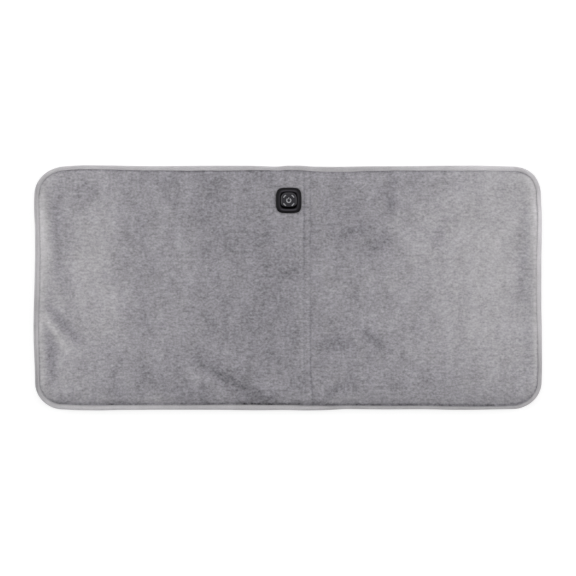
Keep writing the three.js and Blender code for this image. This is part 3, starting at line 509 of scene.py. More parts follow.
def edge_beside(x, y):
    """The way outwards to a point from the frame that joins the corners' middles, and the run along
    the outline where that way meets it."""
    inner_x = np.clip(x, -SIDE_X / 2, SIDE_X / 2)
    inner_y = np.clip(y, -SIDE_Y / 2, SIDE_Y / 2)
    dx, dy = x - inner_x, y - inner_y
    turn = np.arctan2(dx, -dy)
    turn = np.where(turn < -1e-6, turn + 2 * math.pi, turn)
    quarter = np.clip(np.floor(turn / (math.pi / 2) + 1e-6), 0, 3)
    arcs = CORNER * (turn - quarter * math.pi / 2)
    along = [SIDE_X / 2 + inner_x, SIDE_Y / 2 + inner_y, SIDE_X / 2 - inner_x, SIDE_Y / 2 - inner_y]
    before = [0, SIDE_X + ARC, SIDE_X + SIDE_Y + 2 * ARC, 2 * SIDE_X + SIDE_Y + 3 * ARC]
    starts = np.choose(quarter.astype(int), [b + a for a, b in zip(along, before)])
    return dx, dy, starts + arcs


def rim_look(x, y):
    """Tape width, tape lightness with painted light, and painted seam shadow, at the rim by a
    point.
    """
    return read_table(RIM, edge_beside(x, y)[2], OUTLINE / MM)


WAVE_PLACES = np.arange(0, OUTLINE, 2 * MM)
WAVE_WINDOW = 9
wave_heights = np.interp(WAVE_PLACES, *(np.array(EDGE_WAVES) * MM).T, period=OUTLINE)
wave_heights = np.pad(wave_heights, WAVE_WINDOW // 2, "wrap")
wave_heights = np.convolve(wave_heights, np.ones(WAVE_WINDOW) / WAVE_WINDOW, "valid")


def laid_out(points):
    """Moves points of the straight pad sideways to where the soft pad really lies."""
    x, y, z = points.T
    dx, dy, run = edge_beside(x, y)
    away = np.maximum(np.hypot(dx, dy), 1e-9)
    push = np.interp(run, WAVE_PLACES, wave_heights, period=OUTLINE) * smooth_step(away / CORNER)
    slant = SLANT * smooth_step((-y - SLANT_START) / SLANT_RUN) * bell(x - FOLD_X, SLANT_REACH)
    return np.column_stack([x + dx / away * push + slant, y + dy / away * push, z])


def creased(x, y):
    """Height of the pad's single wrinkles, which fade towards their ends."""
    height = np.zeros_like(x)
    for x0, y0, x1, y1, width, rise in np.array(WRINKLES) * MM:
        along = ((x - x0) * (x1 - x0) + (y - y0) * (y1 - y0)) / ((x1 - x0) ** 2 + (y1 - y0) ** 2)
        share = np.clip(along, 0, 1)
        away = np.hypot(x - x0 - share * (x1 - x0), y - y0 - share * (y1 - y0))
        height += rise * bell(away, width) * (0.55 + 0.45 * np.sin(np.pi * share))
    return height


def control_reach(x, y):
    """Half width of the rounded square round the control that a point lies on."""
    return ((x - CONTROL_X) ** SQUARENESS + (y - CONTROL_Y) ** SQUARENESS) ** (1 / SQUARENESS)


def fold_rows(x, y):
    """For both rows of fold stitches: how far right of it a point lies, and how deep it shows."""
    left, right = read_table(FOLD_ROWS, y)
    return [(x - FOLD_X + STITCH_OFFSET, left), (x - FOLD_X - STITCH_OFFSET, right)]


# The rolled edge: its height, then ridge and hollow as [from the rim, reach].
ROLL_HEIGHT = 0.7 * MM
RIDGE = (19 * MM, 9 * MM)
HOLLOW = (42 * MM, 12 * MM)

# Gentle unevenness, as [height, size, seed].
SWELL = (0.55 * MM, 75 * MM, 3.1)
DIMPLE = (0.25 * MM, 24 * MM, 7.7)

# The grooves of the fold's stitches.
GROOVE_DEPTH = 0.7 * MM
GROOVE_REACH = 1.5 * MM


def wrinkles(x, y):
    """Height of the pad's wrinkles, its rolled edge and its gentle unevenness."""
    inside = from_rim(x, y)
    ridge, hollow = (bell(inside - middle, reach) for middle, reach in (RIDGE, HOLLOW))
    swell, dimple = (rise * soft_noise(x, y, *kind) for rise, *kind in (SWELL, DIMPLE))
    height = creased(x, y)
    height += ROLL_HEIGHT * (ridge - 0.7 * hollow)
    height += swell + dimple
    off_control = smooth_step((control_reach(x, y) - FLAT_HALF) / (16 * MM))
    off_fold = smooth_step((np.abs(x - FOLD_X) - 3 * MM) / (14 * MM))
    height *= off_control * (0.35 + 0.65 * off_fold)
    rows = fold_rows(x, y)
    groove = sum((0.5 + 0.5 * depth) * bell(away, GROOVE_REACH) for away, depth in rows)
    return (height - GROOVE_DEPTH * groove) * smooth_step((inside - PINCHED) / (14 * MM))

# How far the patches of pile tone and painted shade drift, over what size, and how strongly a
# wrinkle's painted shade shows.
PATCH_DRIFT = 9 * MM
DRIFT_SIZE = 55 * MM
PAINTED_CREASE_SHADE = 0.75

# Where the painted highlight of the rolled edge starts, from the rim.
LEFT_HIGHLIGHT_START = 11 * MM
RIGHT_HIGHLIGHT_START = 8.5 * MM

# How far in the tape reaches where its width is 1, and how far off the painted seam shadow starts
# at the front.
TAPE_REACH = 8.1 * MM
FRONT_SEAM_SHADOW_GAP = 0.9 * MM


def pile_tone_and_painted_light(x, y):
    """How light the pile looks: its lie's tone, painted highlights and painted shade. 0 is the
    usual.
    """
    drift_x = PATCH_DRIFT * soft_noise(x, y, DRIFT_SIZE, 11.3)
    drift_y = PATCH_DRIFT * soft_noise(x, y, DRIFT_SIZE, 17.9)
    light = np.zeros_like(x)
    # Patches of the pile's tone, some of them painted shade and highlight beside wrinkles.
    for cx, cy, reach_x, reach_y, turn, strength in NAP_TONE_AND_PAINTED_SHADE:
        angle = math.radians(turn)
        dx, dy = (x + drift_x) / MM - cx, (y + drift_y) / MM - cy
        along = (dx * math.cos(angle) + dy * math.sin(angle)) / reach_x
        across = (dy * math.cos(angle) - dx * math.sin(angle)) / reach_y
        light += strength * np.exp(-(along ** 2 + across ** 2))
    # Painted highlight on a strip left of each fold row, and painted shade along the row.
    for away, depth in fold_rows(x, y):
        light += 0.3 * bell(away + 4.5 * MM, 2.6 * MM)
        light -= 0.8 * depth * bell(away, 2.0 * MM)
    inside = from_rim(x, y)
    left, right, front, back = by_side(x, y)
    uneven = 1 + 0.3 * soft_noise(y, y, 40 * MM, 5.5)
    # Painted highlight on the rolled edges along the left and right side.
    for side, start, table in ((left, LEFT_HIGHLIGHT_START, LEFT_ROLL_HIGHLIGHT), (right, RIGHT_HIGHLIGHT_START, RIGHT_ROLL_HIGHLIGHT)):
        strength, reach = read_table(table, y)
        light += side * uneven * strength * bell(np.maximum(inside - start, 0), reach * MM)
    # Painted shadow on the pile beside the tape's seam.
    width, _, seam = rim_look(x, y)
    tape_end = TAPE_REACH * width - RIM_INSET
    seam_shadow_start = tape_end + FRONT_SEAM_SHADOW_GAP * front
    seam *= 1 - 0.5 * (front + 0.8 * back) * (1 - smooth_step((inside - tape_end) / (2 * MM)))
    light -= seam * bell(np.maximum(inside - seam_shadow_start, 0), (2.4 + 1.3 * front) * MM)
    # Painted shade in the wrinkles' hollows and painted highlight on their ridges.
    return light + PAINTED_CREASE_SHADE * creased(x, y) / MM


# Mesh making


def points_of(mesh):
    flat = np.empty(len(mesh.vertices) * 3)
    mesh.vertices.foreach_get("co", flat)
    return flat.reshape(-1, 3)


def set_points(mesh, points):
    mesh.vertices.foreach_set("co", points.ravel())
    mesh.update()


def placed(name, data):
    made = bpy.data.objects.new(name, data)
    scene.collection.objects.link(made)
    return made


def piece(name, bm, material, sharp=None):
    """A finished bmesh as an object, shaded smooth but for edges sharper than an angle."""
    mesh = bpy.data.meshes.new(name)
    bm.to_mesh(mesh)
    bm.free()
    mesh.materials.append(material)
    mesh.shade_smooth()
    if sharp is not None:
        mesh.set_sharp_from_angle(angle=math.radians(sharp))
    return placed(name, mesh)


def ticks(low, high, fixed, step):
    """Places from low to high that hold the fixed ones, with no gap longer than step."""
    marks = sorted({low, high, *(mark for mark in fixed if low < mark < high)})
    places = [low]
    for start, end in zip(marks, marks[1:]):
        count = max(1, math.ceil((end - start) / step - 0.01))
        places += [start + (end - start) * (k + 1) / count for k in range(count)]
    return places


def grid_index(value, count):
    return round((value + 1) / 2 * (count - 1))


def pad_grid(inset, step, fold_offsets, rim_offsets):
    """A flat grid of quads with the pad's rounded outline, some way inside it."""
    half_x, half_y, radius = HALF_X - inset, HALF_Y - inset, CORNER - inset
    fixed_x = [FOLD_X + side * offset * MM for offset in fold_offsets for side in (-1, 1)]
    fixed_x += [side * (half_x - offset * MM) for offset in rim_offsets for side in (-1, 1)]
    fixed_y = [side * (half_y - offset * MM) for offset in rim_offsets for side in (-1, 1)]
    places_x = ticks(-half_x, half_x, fixed_x, step)
    places_y = ticks(-half_y, half_y, fixed_y, step)
    bm = bmesh.new()
    columns, rows = len(places_x), len(places_y)
    bmesh.ops.create_grid(bm, x_segments=columns - 1, y_segments=rows - 1, size=1)
    for v in bm.verts:
        x = places_x[grid_index(v.co.x, columns)]
        y = places_y[grid_index(v.co.y, rows)]
        p, q = (abs(x) - half_x + radius) / radius, (abs(y) - half_y + radius) / radius
        if p > 0 and q > 0:
            x = math.copysign(half_x - radius + radius * p * math.sqrt(1 - q * q / 2), x)
            y = math.copysign(half_y - radius + radius * q * math.sqrt(1 - p * p / 2), y)
        v.co = (x, y, 0)
    return bm


def open_for_control(bm, half):
    """Takes a rounded square out of a grid where the control passes through."""
    reach = {v: float(control_reach(v.co.x, v.co.y)) for v in bm.verts}
    bmesh.ops.delete(bm, geom=[v for v in bm.verts if reach[v] < half], context="VERTS")
    for v in bm.verts:
        if v.is_boundary and reach[v] < 2 * half:
            v.co.x = CONTROL_X + (v.co.x - CONTROL_X) * half / reach[v]
            v.co.y = CONTROL_Y + (v.co.y - CONTROL_Y) * half / reach[v]


def verts_in(made):
    """The vertices among what a bmesh operator made."""
    return [v for v in made["geom"] if isinstance(v, bmesh.types.BMVert)]


def give_thickness(bm, foot, head):
    """Closes a flat grid into a layer between two height functions."""
    flat = bm.verts[:]
    upper = verts_in(bmesh.ops.extrude_face_region(bm, geom=bm.faces[:]))
    for group, height in ((flat, foot), (upper, head)):
        x, y = (np.array([v.co[axis] for v in group]) for axis in (0, 1))
        for v, z in zip(group, height(x, y)):
            v.co.z = z
    bmesh.ops.recalc_face_normals(bm, faces=bm.faces[:])


def evaluated(obj):
    return obj.evaluated_get(bpy.context.evaluated_depsgraph_get())


def apply_modifiers(obj):
    """Keeps the mesh that the modifiers make, and takes them off."""
    mesh = bpy.data.meshes.new_from_object(evaluated(obj))
    obj.modifiers.clear()
    obj.data = mesh


def cut_away(obj, cutters):
    """Takes other solids out of a piece for good, and removes them."""
    for cutter in cutters:
        cut = obj.modifiers.new("cut", "BOOLEAN")
        cut.operation = "DIFFERENCE"
        cut.solver = "EXACT"
        cut.object = cutter
    apply_modifiers(obj)
    for cutter in cutters:
        bpy.data.objects.remove(cutter)


def map_cloth(obj):
    """Gives a layer its UV map: metres along and across the pad."""
    mesh = obj.data
    corners = np.empty(len(mesh.loops), dtype=np.int32)
    mesh.loops.foreach_get("vertex_index", corners)
    layer = mesh.uv_layers.new(name="cloth")
    layer.data.foreach_set("uv", (points_of(mesh)[corners][:, :2] + 0.5).ravel())


def keep_attribute(obj, name, values):
    layer = obj.data.attributes.new(name, "FLOAT", "POINT")
    layer.data.foreach_set("value", values.astype(np.float32))


def across_fold(obj, slot, *replaced):
    """A soft piece that runs through the fold, laid out where the soft pad lies; hides what it
    replaces.
    """
    set_points(obj.data, laid_out(points_of(obj.data)))
    if replaced:
        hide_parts(*replaced)
    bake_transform(obj)


# Top cover: it settles in a short cloth simulation, sewn down at edge, fold and control.

SETTLE_FRAMES = 20
SETTLE_LIMIT = 2.2 * MM
LOOSE_HOLD = 0.04
CLOTH_SETTINGS = {
    "quality": 6, "mass": 0.25, "tension_stiffness": 18, "compression_stiffness": 12,
    "shear_stiffness": 6, "bending_stiffness": 1.2, "vertex_group_mass": "hold",
    "shrink_min": -0.006, "use_pressure": True, "uniform_pressure_force": 1.2,
}
COVER_STEP = 8.6 * MM

# Grid lines of the cover, in millimetres from the rim and from the middle of the fold.
RIM_OFFSETS = [4, 6, 7.6, 9, 10.5, 12.5, 15.5, 19.5, 25, 32]
FOLD_OFFSETS = [0, 2.5, 4.2, 5.2, 6, 6.8, 7.8, 9.4, 12, 16, 21]


def settle(obj):
    """Lets the cover swell and pucker a little, and keeps each point near where it was."""
    before = points_of(obj.data)
    x, y, _ = before.T
    by_rim = from_rim(x, y) < PINCHED + 0.5 * MM
    by_stitch = np.abs(np.abs(x - FOLD_X) - STITCH_OFFSET) < 0.3 * MM
    sewn = by_rim | by_stitch | (control_reach(x, y) < FLAT_HALF)
    hold = obj.vertex_groups.new(name="hold")
    hold.add(np.flatnonzero(sewn).tolist(), 1.0, "REPLACE")
    hold.add(np.flatnonzero(~sewn).tolist(), LOOSE_HOLD, "REPLACE")
    cloth = obj.modifiers.new("settle", "CLOTH")
    for name, value in CLOTH_SETTINGS.items():
        setattr(cloth.settings, name, value)
    cloth.settings.effector_weights.gravity = 0
    cloth.collision_settings.use_collision = False
    cloth.point_cache.frame_start = 1
    cloth.point_cache.frame_end = SETTLE_FRAMES
    for number in range(1, SETTLE_FRAMES + 1):
        scene.frame_set(number)
    moved = points_of(evaluated(obj).data) - before
    obj.modifiers.remove(cloth)
    scene.frame_set(1)
    length = np.maximum(np.linalg.norm(moved, axis=1), 1e-9)
    moved *= np.minimum(1, SETTLE_LIMIT / length)[:, None]
    set_points(obj.data, before + moved)


def make_top_cover():
    """Makes the cover and returns its upper side, for other pieces to follow."""
    bm = pad_grid(RIM_INSET, COVER_STEP, FOLD_OFFSETS, RIM_OFFSETS)
    open_for_control(bm, OPENING_HALF)
    cover = piece("top_cover", bm, PLUSH)
    points = points_of(cover.data)
    x, y, _ = points.T
    points[:, 2] = top_foot(x, y) + TOP_COVER + wrinkles(x, y)
    set_points(cover.data, points)
    settle(cover)
    finer = cover.modifiers.new("finer", "SUBSURF")
    finer.levels = finer.render_levels = 1
    apply_modifiers(cover)
    bm = bmesh.new()
    bm.from_mesh(cover.data)
    settled = BVHTree.FromBMesh(bm)
    lower = verts_in(bmesh.ops.extrude_face_region(bm, geom=bm.faces[:]))
    bmesh.ops.translate(bm, verts=lower, vec=(0, 0, -TOP_COVER))
    bmesh.ops.recalc_face_normals(bm, faces=bm.faces[:])
    bm.to_mesh(cover.data)
    bm.free()
    cover.data.shade_smooth()
    map_cloth(cover)
    x, y, _ = points_of(cover.data).T
    # The pile's tone together with painted highlights and painted shade, kept for the plush finish.
    keep_attribute(cover, "tone_and_painted_light", pile_tone_and_painted_light(x, y))
    across_fold(cover, "plush", "left_top_cover", "right_top_cover")
    return settled


def settled_height(x, y):
    """Height of the settled top cover over places on the pad."""
    above = 100 * MM
    hits = [settled_cover.ray_cast((a, b, above), (0, 0, -1))[0] for a, b in zip(x, y)]
    return np.array([hit.z if hit else BINDING_HEIGHT for hit in hits])


def make_layer(name, material, slot, inset, foot, head, opening=None):
    """A layer between two height functions. Wadding stops inside the pinched rim."""
    rim_offsets = [6, 13] if inset > RIM_INSET else [7.6, 12, 19, 28]
    bm = pad_grid(inset, 14 * MM, [0, 3, 6, 9, 13], rim_offsets)
    if opening:
        open_for_control(bm, opening)
    give_thickness(bm, foot, head)
    layer = piece(name, bm, material, sharp=50)
    map_cloth(layer)
    across_fold(layer, slot, "left_" + name, "right_" + name)


# Binding: a folded tape round the whole edge. Its section is [inwards, height] in millimetres, from
# the lower inner edge round the outside to the upper inner edge and back through the inside.
LOWER_SIDE = [
    (8.0, 0.25), (7.2, 0.0), (6.4, 0.28), (5.4, 0.0), (3.2, 0.0), (1.5, 0.2), (0.55, 0.85),
    (0.1, 1.8),
]
UPPER_SIDE = [
    (0.0, 2.65), (0.1, 3.5), (0.55, 4.4), (1.5, 5.05), (3.2, 5.35), (5.4, 5.3), (6.4, 4.98),
    (7.2, 5.3), (7.9, 5.15), (8.1, 4.75),
]
INNER_UPPER = [(7.9, 4.5), (6.4, 4.4), (3.2, 4.5), (1.2, 4.35), (0.85, 3.6)]
INNER_LOWER = [(0.8, 2.65), (0.85, 1.7), (1.2, 0.95), (3.2, 0.8), (6.4, 0.85), (7.9, 0.8)]
SECTION = LOWER_SIDE + UPPER_SIDE + INNER_UPPER + INNER_LOWER
UPPER_PART = range(len(LOWER_SIDE), len(SECTION) - len(INNER_LOWER))
STATION_STEP = 3 * MM

# The seam along the tape, and the stitches of all seams.
STITCH_INSET = 6.4 * MM
STITCH_PITCH = 3.4 * MM
STITCH_LENGTH = 2.5 * MM
TAPE_STITCH_HEAD = 5.06 * MM
TAPE_STITCH_FOOT = 0.3 * MM
TAPE_THREAD = 0.42 * MM
FOLD_THREAD = 0.45 * MM
LOWER_THREAD = 0.36 * MM


def edge_line(step):
    """Places along the pad's edge, each with the direction inwards: rows of x, y, nx, ny."""
    side_x, side_y = SIDE_X / 2, SIDE_Y / 2
    sides = [
        ((-side_x, -HALF_Y), (side_x, -HALF_Y), (side_x, -side_y), -90),
        ((HALF_X, -side_y), (HALF_X, side_y), (side_x, side_y), 0),
        ((side_x, HALF_Y), (-side_x, HALF_Y), (-side_x, side_y), 90),
        ((-HALF_X, side_y), (-HALF_X, -side_y), (-side_x, -side_y), 180),
    ]
    rows = []
    for start, end, middle, angle in sides:
        count = round(math.dist(start, end) / step)
        inwards = (-math.cos(math.radians(angle)), -math.sin(math.radians(angle)))
        for k in range(count):
            place = [a + k / count * (b - a) for a, b in zip(start, end)]
            rows.append((*place, *inwards))
        count = round(ARC / step)
        for k in range(count):
            turn = math.radians(angle + 90 * k / count)
            out = (math.cos(turn), math.sin(turn))
            place = [a + b * CORNER for a, b in zip(middle, out)]
            rows.append((*place, -out[0], -out[1]))
    return np.array(rows)


def rolled(columns, rows, place, both_ways=True):
    """A grid rolled into a tube, and into a ring of it, with its seams closed. place gives a point
    for a column and a row. Returns the bmesh, with the UV of the flat grid."""
    bm = bmesh.new()
    bm.loops.layers.uv.new("cloth")
    bmesh.ops.create_grid(bm, x_segments=columns, y_segments=rows, size=1, calc_uvs=True)
    for v in bm.verts:
        i, j = grid_index(v.co.x, columns + 1), grid_index(v.co.y, rows + 1)
        v.co = place(i % columns if both_ways else i, j % rows)
    bmesh.ops.remove_doubles(bm, verts=bm.verts[:], dist=1e-7)
    if not both_ways:
        bmesh.ops.holes_fill(bm, edges=[e for e in bm.edges if e.is_boundary])
    bmesh.ops.recalc_face_normals(bm, faces=bm.faces[:])
    return bm


def tape_pucker(run):
    """Small rise of the tape between its stitches, along the edge."""
    return 0.16 * MM * noise.fractal(Vector((run / (9 * MM), 2.2, 0)), 1, 2, 2)


def uneven_width(run, share, size, seed):
    return 1 + share * noise.noise(Vector((run / size, seed, 0)))


def make_binding():
    stations = edge_line(STATION_STEP)
    widths = rim_look(stations[:, 0], stations[:, 1])[0]

    def place(i, j):
        x, y, nx, ny = stations[i]
        run = i * STATION_STEP
        inward, z = SECTION[j][0] * MM * widths[i], SECTION[j][1] * MM
        if j in UPPER_PART:
            z += tape_lift(x, y) * min(1, (z - 1.2 * MM) / (2.6 * MM)) + tape_pucker(run)
        inward *= uneven_width(run, 0.05, 40 * MM, 9.1)
        inward *= uneven_width(run, 0.04, 11 * MM, 4.3)
        return (x + nx * inward, y + ny * inward, z)

    bm = rolled(len(stations), len(SECTION), place)
    uv = bm.loops.layers.uv["cloth"]
    steps = [math.dist(a, b) for a, b in zip(SECTION, SECTION[1:] + SECTION[:1])]
    girth = np.concatenate([[0], np.cumsum(steps)])
    length = len(stations) * STATION_STEP
    for face in bm.faces:
        for loop in face.loops:
            u, v = loop[uv].uv
            loop[uv].uv = (u * length, girth[round(v * len(SECTION))] * MM)
    binding = piece("edge_binding", bm, BINDING)
    cut_away(binding, [inlet_cutter()])
    x, y, _ = points_of(binding.data).T
    left, _, front, back = by_side(x, y)
    # The tape's lightness along the rim, partly painted light.
    width, light, _ = rim_look(x, y)
    inward = RIM_INSET + from_rim(x, y)
    lip_shade_start, lip_shade_run = (6.4 - front) * MM, (1.7 + front) * MM
    # Painted shade along a groove of the left tape, a painted highlight along the outer edge, and
    # painted shade on the inner lip where it turns down to the seam.
    light -= left * bell(HALF_X + x - 3.3 * MM, 1.2 * MM)
    light += (0.8 + 1.1 * front + 0.7 * back) * smooth_step(1 - inward / (1.8 * MM))
    light -= (0.3 + 1.6 * front + 0.3 * back) * smooth_step((inward / width - lip_shade_start) / lip_shade_run)
    keep_attribute(binding, "tone_and_painted_light", light)
    across_fold(binding, "binding_tape", "left_edge_binding", "right_edge_binding")


def block(*size):
    """A box round the origin."""
    bm = bmesh.new()
    bmesh.ops.create_cube(bm, size=1)
    bmesh.ops.scale(bm, vec=size, verts=bm.verts[:])
    return bm


def inlet_cutter():
    """The opening that the tape leaves for the socket's nose."""
    low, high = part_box("inlet_block")
    bm = block(12.6 * MM, 12 * MM, high.z - low.z + 0.4 * MM)
    upright = [e for e in bm.edges if abs(e.verts[0].co.y - e.verts[1].co.y) > MM]
    bmesh.ops.bevel(
        bm, geom=upright, offset=1.5 * MM, affect="EDGES", segments=4, profile=0.5, material=-1
    )
    bmesh.ops.translate(bm, vec=(INLET_X, HALF_Y, (low.z + high.z) / 2), verts=bm.verts[:])
    return piece("inlet_cutter", bm, BINDING)


def repeated(bm, matrices):
    """Sets a small shape down once for each of the matrices, by doubling it again and again."""
    which = bm.verts.layers.int.new("which")
    count = 1
    while count < len(matrices):
        made = bmesh.ops.duplicate(bm, geom=bm.verts[:] + bm.edges[:] + bm.faces[:])
        for v in verts_in(made):
            v[which] += count
        count *= 2
    spare = [v for v in bm.verts if v[which] >= len(matrices)]
    bmesh.ops.delete(bm, geom=spare, context="VERTS")
    for v in bm.verts:
        v.co = matrices[v[which]] @ v.co
    return bm


def stitch(middle, heading, thickness):
    """The matrix that makes a ball one short stitch along its heading."""
    turn = Matrix.Rotation(math.atan2(heading[1], heading[0]), 4, "Z")
    size = Matrix.Diagonal((STITCH_LENGTH / 2, thickness / 2, thickness / 2, 1))
    return Matrix.Translation(middle) @ turn @ size @ Matrix.Rotation(math.pi / 2, 4, "Y")


def make_stitches(name, matrices, material, slot):
    bm = bmesh.new()
    bmesh.ops.create_uvsphere(bm, u_segments=6, v_segments=4, radius=1)
    across_fold(piece(name, repeated(bm, matrices), material), slot)


def binding_stitches():
    """The tape's stitches, an upper and a lower one at each place."""
    matrices = []
    for i, (x, y, nx, ny) in enumerate(edge_line(STITCH_PITCH)):
        inset = STITCH_INSET * float(rim_look(x, y)[0])
        px, py = x + nx * inset, y + ny * inset
        top = TAPE_STITCH_HEAD + tape_lift(x, y) + tape_pucker(i * STITCH_PITCH)
        matrices.append(stitch((px, py, top), (-ny, nx), TAPE_THREAD))
        matrices.append(stitch((px, py, TAPE_STITCH_FOOT), (-ny, nx), LOWER_THREAD))
    return matrices


def fold_stitches():
    """The stitches of the fold's two rows, on the cover and on the underside."""
    end = HALF_Y - 9 * MM
    y = np.linspace(-end, end, round(2 * end / STITCH_PITCH))
    matrices = []
    for side in (-1, 1):
        x = np.full_like(y, FOLD_X + side * STITCH_OFFSET)
        foot = 0.35 * MM + rim_rise(x, y)
        for px, py, high_z, low_z in zip(x, y, settled_height(x, y), foot):
            matrices.append(stitch((px, py, high_z - 0.02 * MM), (0, 1), FOLD_THREAD))
            matrices.append(stitch((px, py, low_z), (0, 1), LOWER_THREAD))
    return matrices


def make_grip_dots():
    """Rubber dots under the bottom cover, clear of the rim and the fold's stitches."""
    pitch, row_pitch, edge, height = 15 * MM, 13 * MM, 26 * MM, 0.6 * MM
    matrices = []
    for row in range(int(2 * (HALF_Y - edge) / row_pitch) + 1):
        for k in range(int(2 * (HALF_X - edge) / pitch)):
            x = edge - HALF_X + (k + 0.5 * (row % 2)) * pitch
            y = edge - HALF_Y + row * row_pitch
            off_stitches = abs(abs(x - FOLD_X) - STITCH_OFFSET) > 2 * MM
            if off_stitches and from_rim(x, y) > 24 * MM:
                matrices.append(Matrix.Translation((x, y, float(rim_rise(x, y)) + height / 2)))
    bm = bmesh.new()
    bmesh.ops.create_cone(
        bm, cap_ends=True, segments=8, radius1=0.9 * MM, radius2=1.6 * MM, depth=height
    )
    across_fold(piece("grip_dots", repeated(bm, matrices), GRIP, sharp=40), "backing")


# Control

# Heights are millimetres above the seat, and half widths are from the control's middle.
BEZEL_LEVELS = [
    (22.9, 13.3), (23.3, 13.45), (23.5, 13.8), (23.5, 14.6), (23.35, 15.2), (22.95, 15.7),
    (22.2, 16.15), (21.2, 16.5), (20.2, 16.78), (19.2, 17.0), (18.4, 17.15), (17.6, 17.2),
    (16.9, 17.12), (16.3, 16.9), (15.7, 16.4), (15.3, 15.8), (15.2, 15.2), (15.2, 14.72),
    (16.2, 14.7), (16.2, 11.2), (17.2, 11.2), (17.2, 13.3),
]
CAP_SQUARENESS = 2.9
CAP_FLANGE = [(13.6, 13.4), (15.8, 13.4), (15.8, 14.4), (14.8, 14.42)]
CAP_TOP = [
    (14.8, 14.5), (14.8, 16.2), (14.72, 16.7), (14.5, 17.1), (14.1, 17.46), (13.5, 17.78),
    (12.7, 18.04), (11.7, 18.19), (10.6, 18.27), (9.4, 18.3), (4.0, 18.3),
]
CAP_CAVITY = [(13.4, 10), (13.4, 16.4)]

# The cap's front wall stands back from the rounded square.
FRONT_SETBACK = 2.8 * MM
SETBACK_START = 7 * MM
SETBACK_RUN = 7.5 * MM

# Slots for the power sign and the level marks: radius, width, start and end angle, then heights.
SIGN_SLOT = (3.8, 2.0, 125.7, 414.3)
MARK_SLOTS = [(11, 1.8, angle - 16.8, angle + 16.8) for angle in (45, 135, 225, 315)]
SLOT_FOOT, SLOT_HEAD = 15, 20


def of_cap(levels):
    return [(*level, CAP_SQUARENESS) for level in levels]


def square_shell(levels, closed):
    """Rounded squares through [half width, height] in millimetres, skinned in turn. A third number
    is the squareness of a level of the cap, whose front wall stands back."""
    sides = 96

    def place(i, j):
        half, z, *own = levels[i]
        angle = 2 * math.pi * ((j + 0.5) / sides)
        power = 2 / (own[0] if own else SQUARENESS)
        x, y = (
            middle + half * MM * math.copysign(abs(value) ** power, value)
            for middle, value in ((CONTROL_X, math.cos(angle)), (CONTROL_Y, math.sin(angle)))
        )
        if own:
            forward = CONTROL_Y - y
            y += FRONT_SETBACK * float(smooth_step((forward - SETBACK_START) / SETBACK_RUN))
        return (x, y, z * MM)

    return rolled(len(levels) if closed else len(levels) - 1, sides, place, both_ways=closed)


def make_bezel():
    bm = square_shell(BEZEL_LEVELS, closed=True)
    for i in range(4):
        low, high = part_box(f"control_screw_{i + 1}")
        middle = Vector(((low.x + high.x) / 2, (low.y + high.y) / 2, 12.95 * MM))
        bmesh.ops.create_cone(
            bm, cap_ends=True, segments=20, radius1=2 * MM, radius2=2 * MM, depth=3.5 * MM,
            matrix=Matrix.Translation(middle),
        )
    bezel = piece("bezel", bm, BEZEL, sharp=50)
    x, y, z = points_of(bezel.data).T
    # Painted highlight on the bezel's top ridge, stronger at the front and back than at the sides.
    front_or_back = smooth_step((np.abs(y - CONTROL_Y) - np.abs(x - CONTROL_X)) / (4 * MM))
    more = np.where(y < CONTROL_Y, 1.45, 0.95) * front_or_back
    keep_attribute(bezel, "painted_highlight", smooth_step((z - 16.9 * MM) / (0.25 * MM)) * (1 + more))
    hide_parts("control_bezel")
    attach(bezel, "left_half")


def arc_cutter(radius, width, start, end):
    """A strip of a ring that cuts a light guide's slot through the cap."""
    steps = 24
    low, high = radius - width / 2, radius + width / 2
    corners = [(low, SLOT_FOOT), (high, SLOT_FOOT), (high, SLOT_HEAD), (low, SLOT_HEAD)]

    def place(i, j):
        angle = math.radians(start + (end - start) * i / steps)
        r, z = corners[j]
        x, y = CONTROL_X + r * MM * math.cos(angle), CONTROL_Y + r * MM * math.sin(angle)
        return (x, y, z * MM)

    return piece("slot_cutter", rolled(steps, 4, place, both_ways=False), GLOSS)


def make_cap():
    bm = square_shell(CAP_FLANGE + of_cap(CAP_TOP), closed=False)
    cap = piece("push_button", bm, GLOSS, sharp=50)
    cutters = [piece("cap_cavity", square_shell(of_cap(CAP_CAVITY), closed=False), GLOSS)]
    cutters += [arc_cutter(*slot) for slot in (SIGN_SLOT, *MARK_SLOTS)]
    bm = block(1.6 * MM, 3.3 * MM, 5 * MM)
    bmesh.ops.translate(bm, vec=(CONTROL_X, CONTROL_Y + 3.8 * MM, 17.5 * MM), verts=bm.verts[:])
    cutters.append(piece("bar_cutter", bm, GLOSS))
    cut_away(cap, cutters)
    cap.data.shade_smooth()
    cap.data.set_sharp_from_angle(angle=math.radians(40))
    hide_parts("button_cap")
    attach(cap, "button")


# The pieces

WADDING_INSET = HALF_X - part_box("right_upper_wadding")[1].x


def upper_wadding_head(x, y):
    return settled_height(x, y) - TOP_COVER - LAYER_GAP


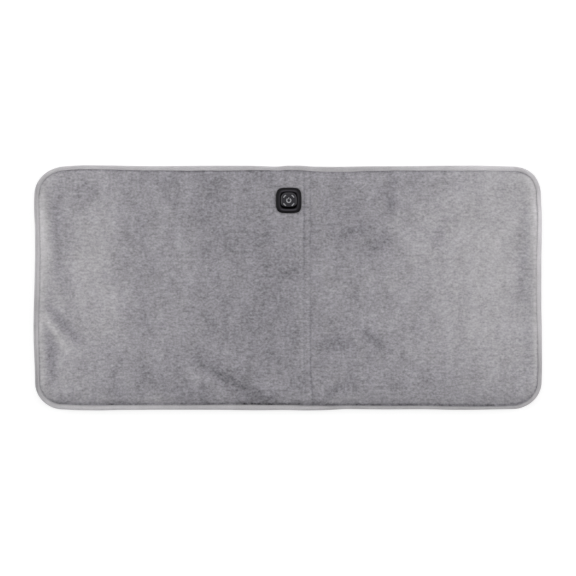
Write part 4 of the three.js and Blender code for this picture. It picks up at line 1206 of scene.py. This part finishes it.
settled_cover = make_top_cover()
make_layer("bottom_cover", BACKING, "backing", RIM_INSET, bottom_foot, bottom_head)
make_binding()
make_stitches("binding_stitches", binding_stitches(), THREAD, "binding_tape")
make_stitches("fold_stitches", fold_stitches(), PLUSH_THREAD, "plush")
make_grip_dots()
make_bezel()
make_cap()
make_layer("lower_wadding", WADDING, "wadding", WADDING_INSET, layer_height(0.03),
           layer_height(0.33))
make_layer("heater_cloth", HEATER_CLOTH, "heater_cloth", WADDING_INSET, layer_height(0.36),
           layer_height(0.42))
make_layer("upper_wadding", WADDING, "wadding", WADDING_INSET, layer_height(0.68),
           upper_wadding_head, opening=24 * MM)

node_slots = {row["node"]: row["material_slot"] for row in frame["record"]["subparts"]}
for name, node in frame["nodes"].items():
    if node_slots[name] in SLOT_FINISHES and not node.hide_render:
        node.data.materials.clear()
        node.data.materials.append(SLOT_FINISHES[node_slots[name]])

# Camera, lamps and floor

PICTURE_WIDTH = 576 * 1.842 * MM
SUN_SPREAD = math.radians(45)
SKY_LIGHT = 0.36
FLOOR_GLOW = 0.8
FLOOR_Z = -16 * MM

scene.view_settings.view_transform = "Standard"
camera = placed("camera", bpy.data.cameras.new("camera"))
camera.data.type = "ORTHO"
camera.data.ortho_scale = PICTURE_WIDTH
camera.location = (0, 0, 2)
scene.camera = camera


def add_sun(name, towards, strength):
    """A broad soft light that comes from a direction."""
    lamp = placed(name, bpy.data.lights.new(name, "SUN"))
    lamp.data.energy = strength
    lamp.data.angle = SUN_SPREAD
    lamp.rotation_mode = "QUATERNION"
    lamp.rotation_quaternion = Vector(towards).to_track_quat("Z", "Y")


add_sun("back_light", (0.05, 1, 0.95), 0.75)
add_sun("left_light", (-1, 0.15, 0.7), 1.35)
add_sun("right_light", (1, 0.15, 0.7), 1.4)

world = bpy.data.worlds.new("studio")
scene.world = world
world.use_nodes = True
sky = Nodes(world.node_tree)
background = world.node_tree.nodes["Background"]
sky.join(background.inputs["Color"], (1, 1, 1, 1))
sky.join(background.inputs["Strength"], sky.by_ray(SKY_LIGHT, 1))

bm = bmesh.new()
bmesh.ops.create_grid(bm, x_segments=1, y_segments=1, size=4)
bmesh.ops.translate(bm, vec=(0, 0, FLOOR_Z), verts=bm.verts[:])
floor_finish = Finish("floor", Base_Color=(0.3, 0.3, 0.3, 1), Roughness=1.0,
                      Specular_IOR_Level=0.0, Emission_Color=(1, 1, 1, 1))
floor_finish.feed("Emission Strength", floor_finish.by_ray(0, FLOOR_GLOW))
floor = piece("floor", bm, floor_finish.material)
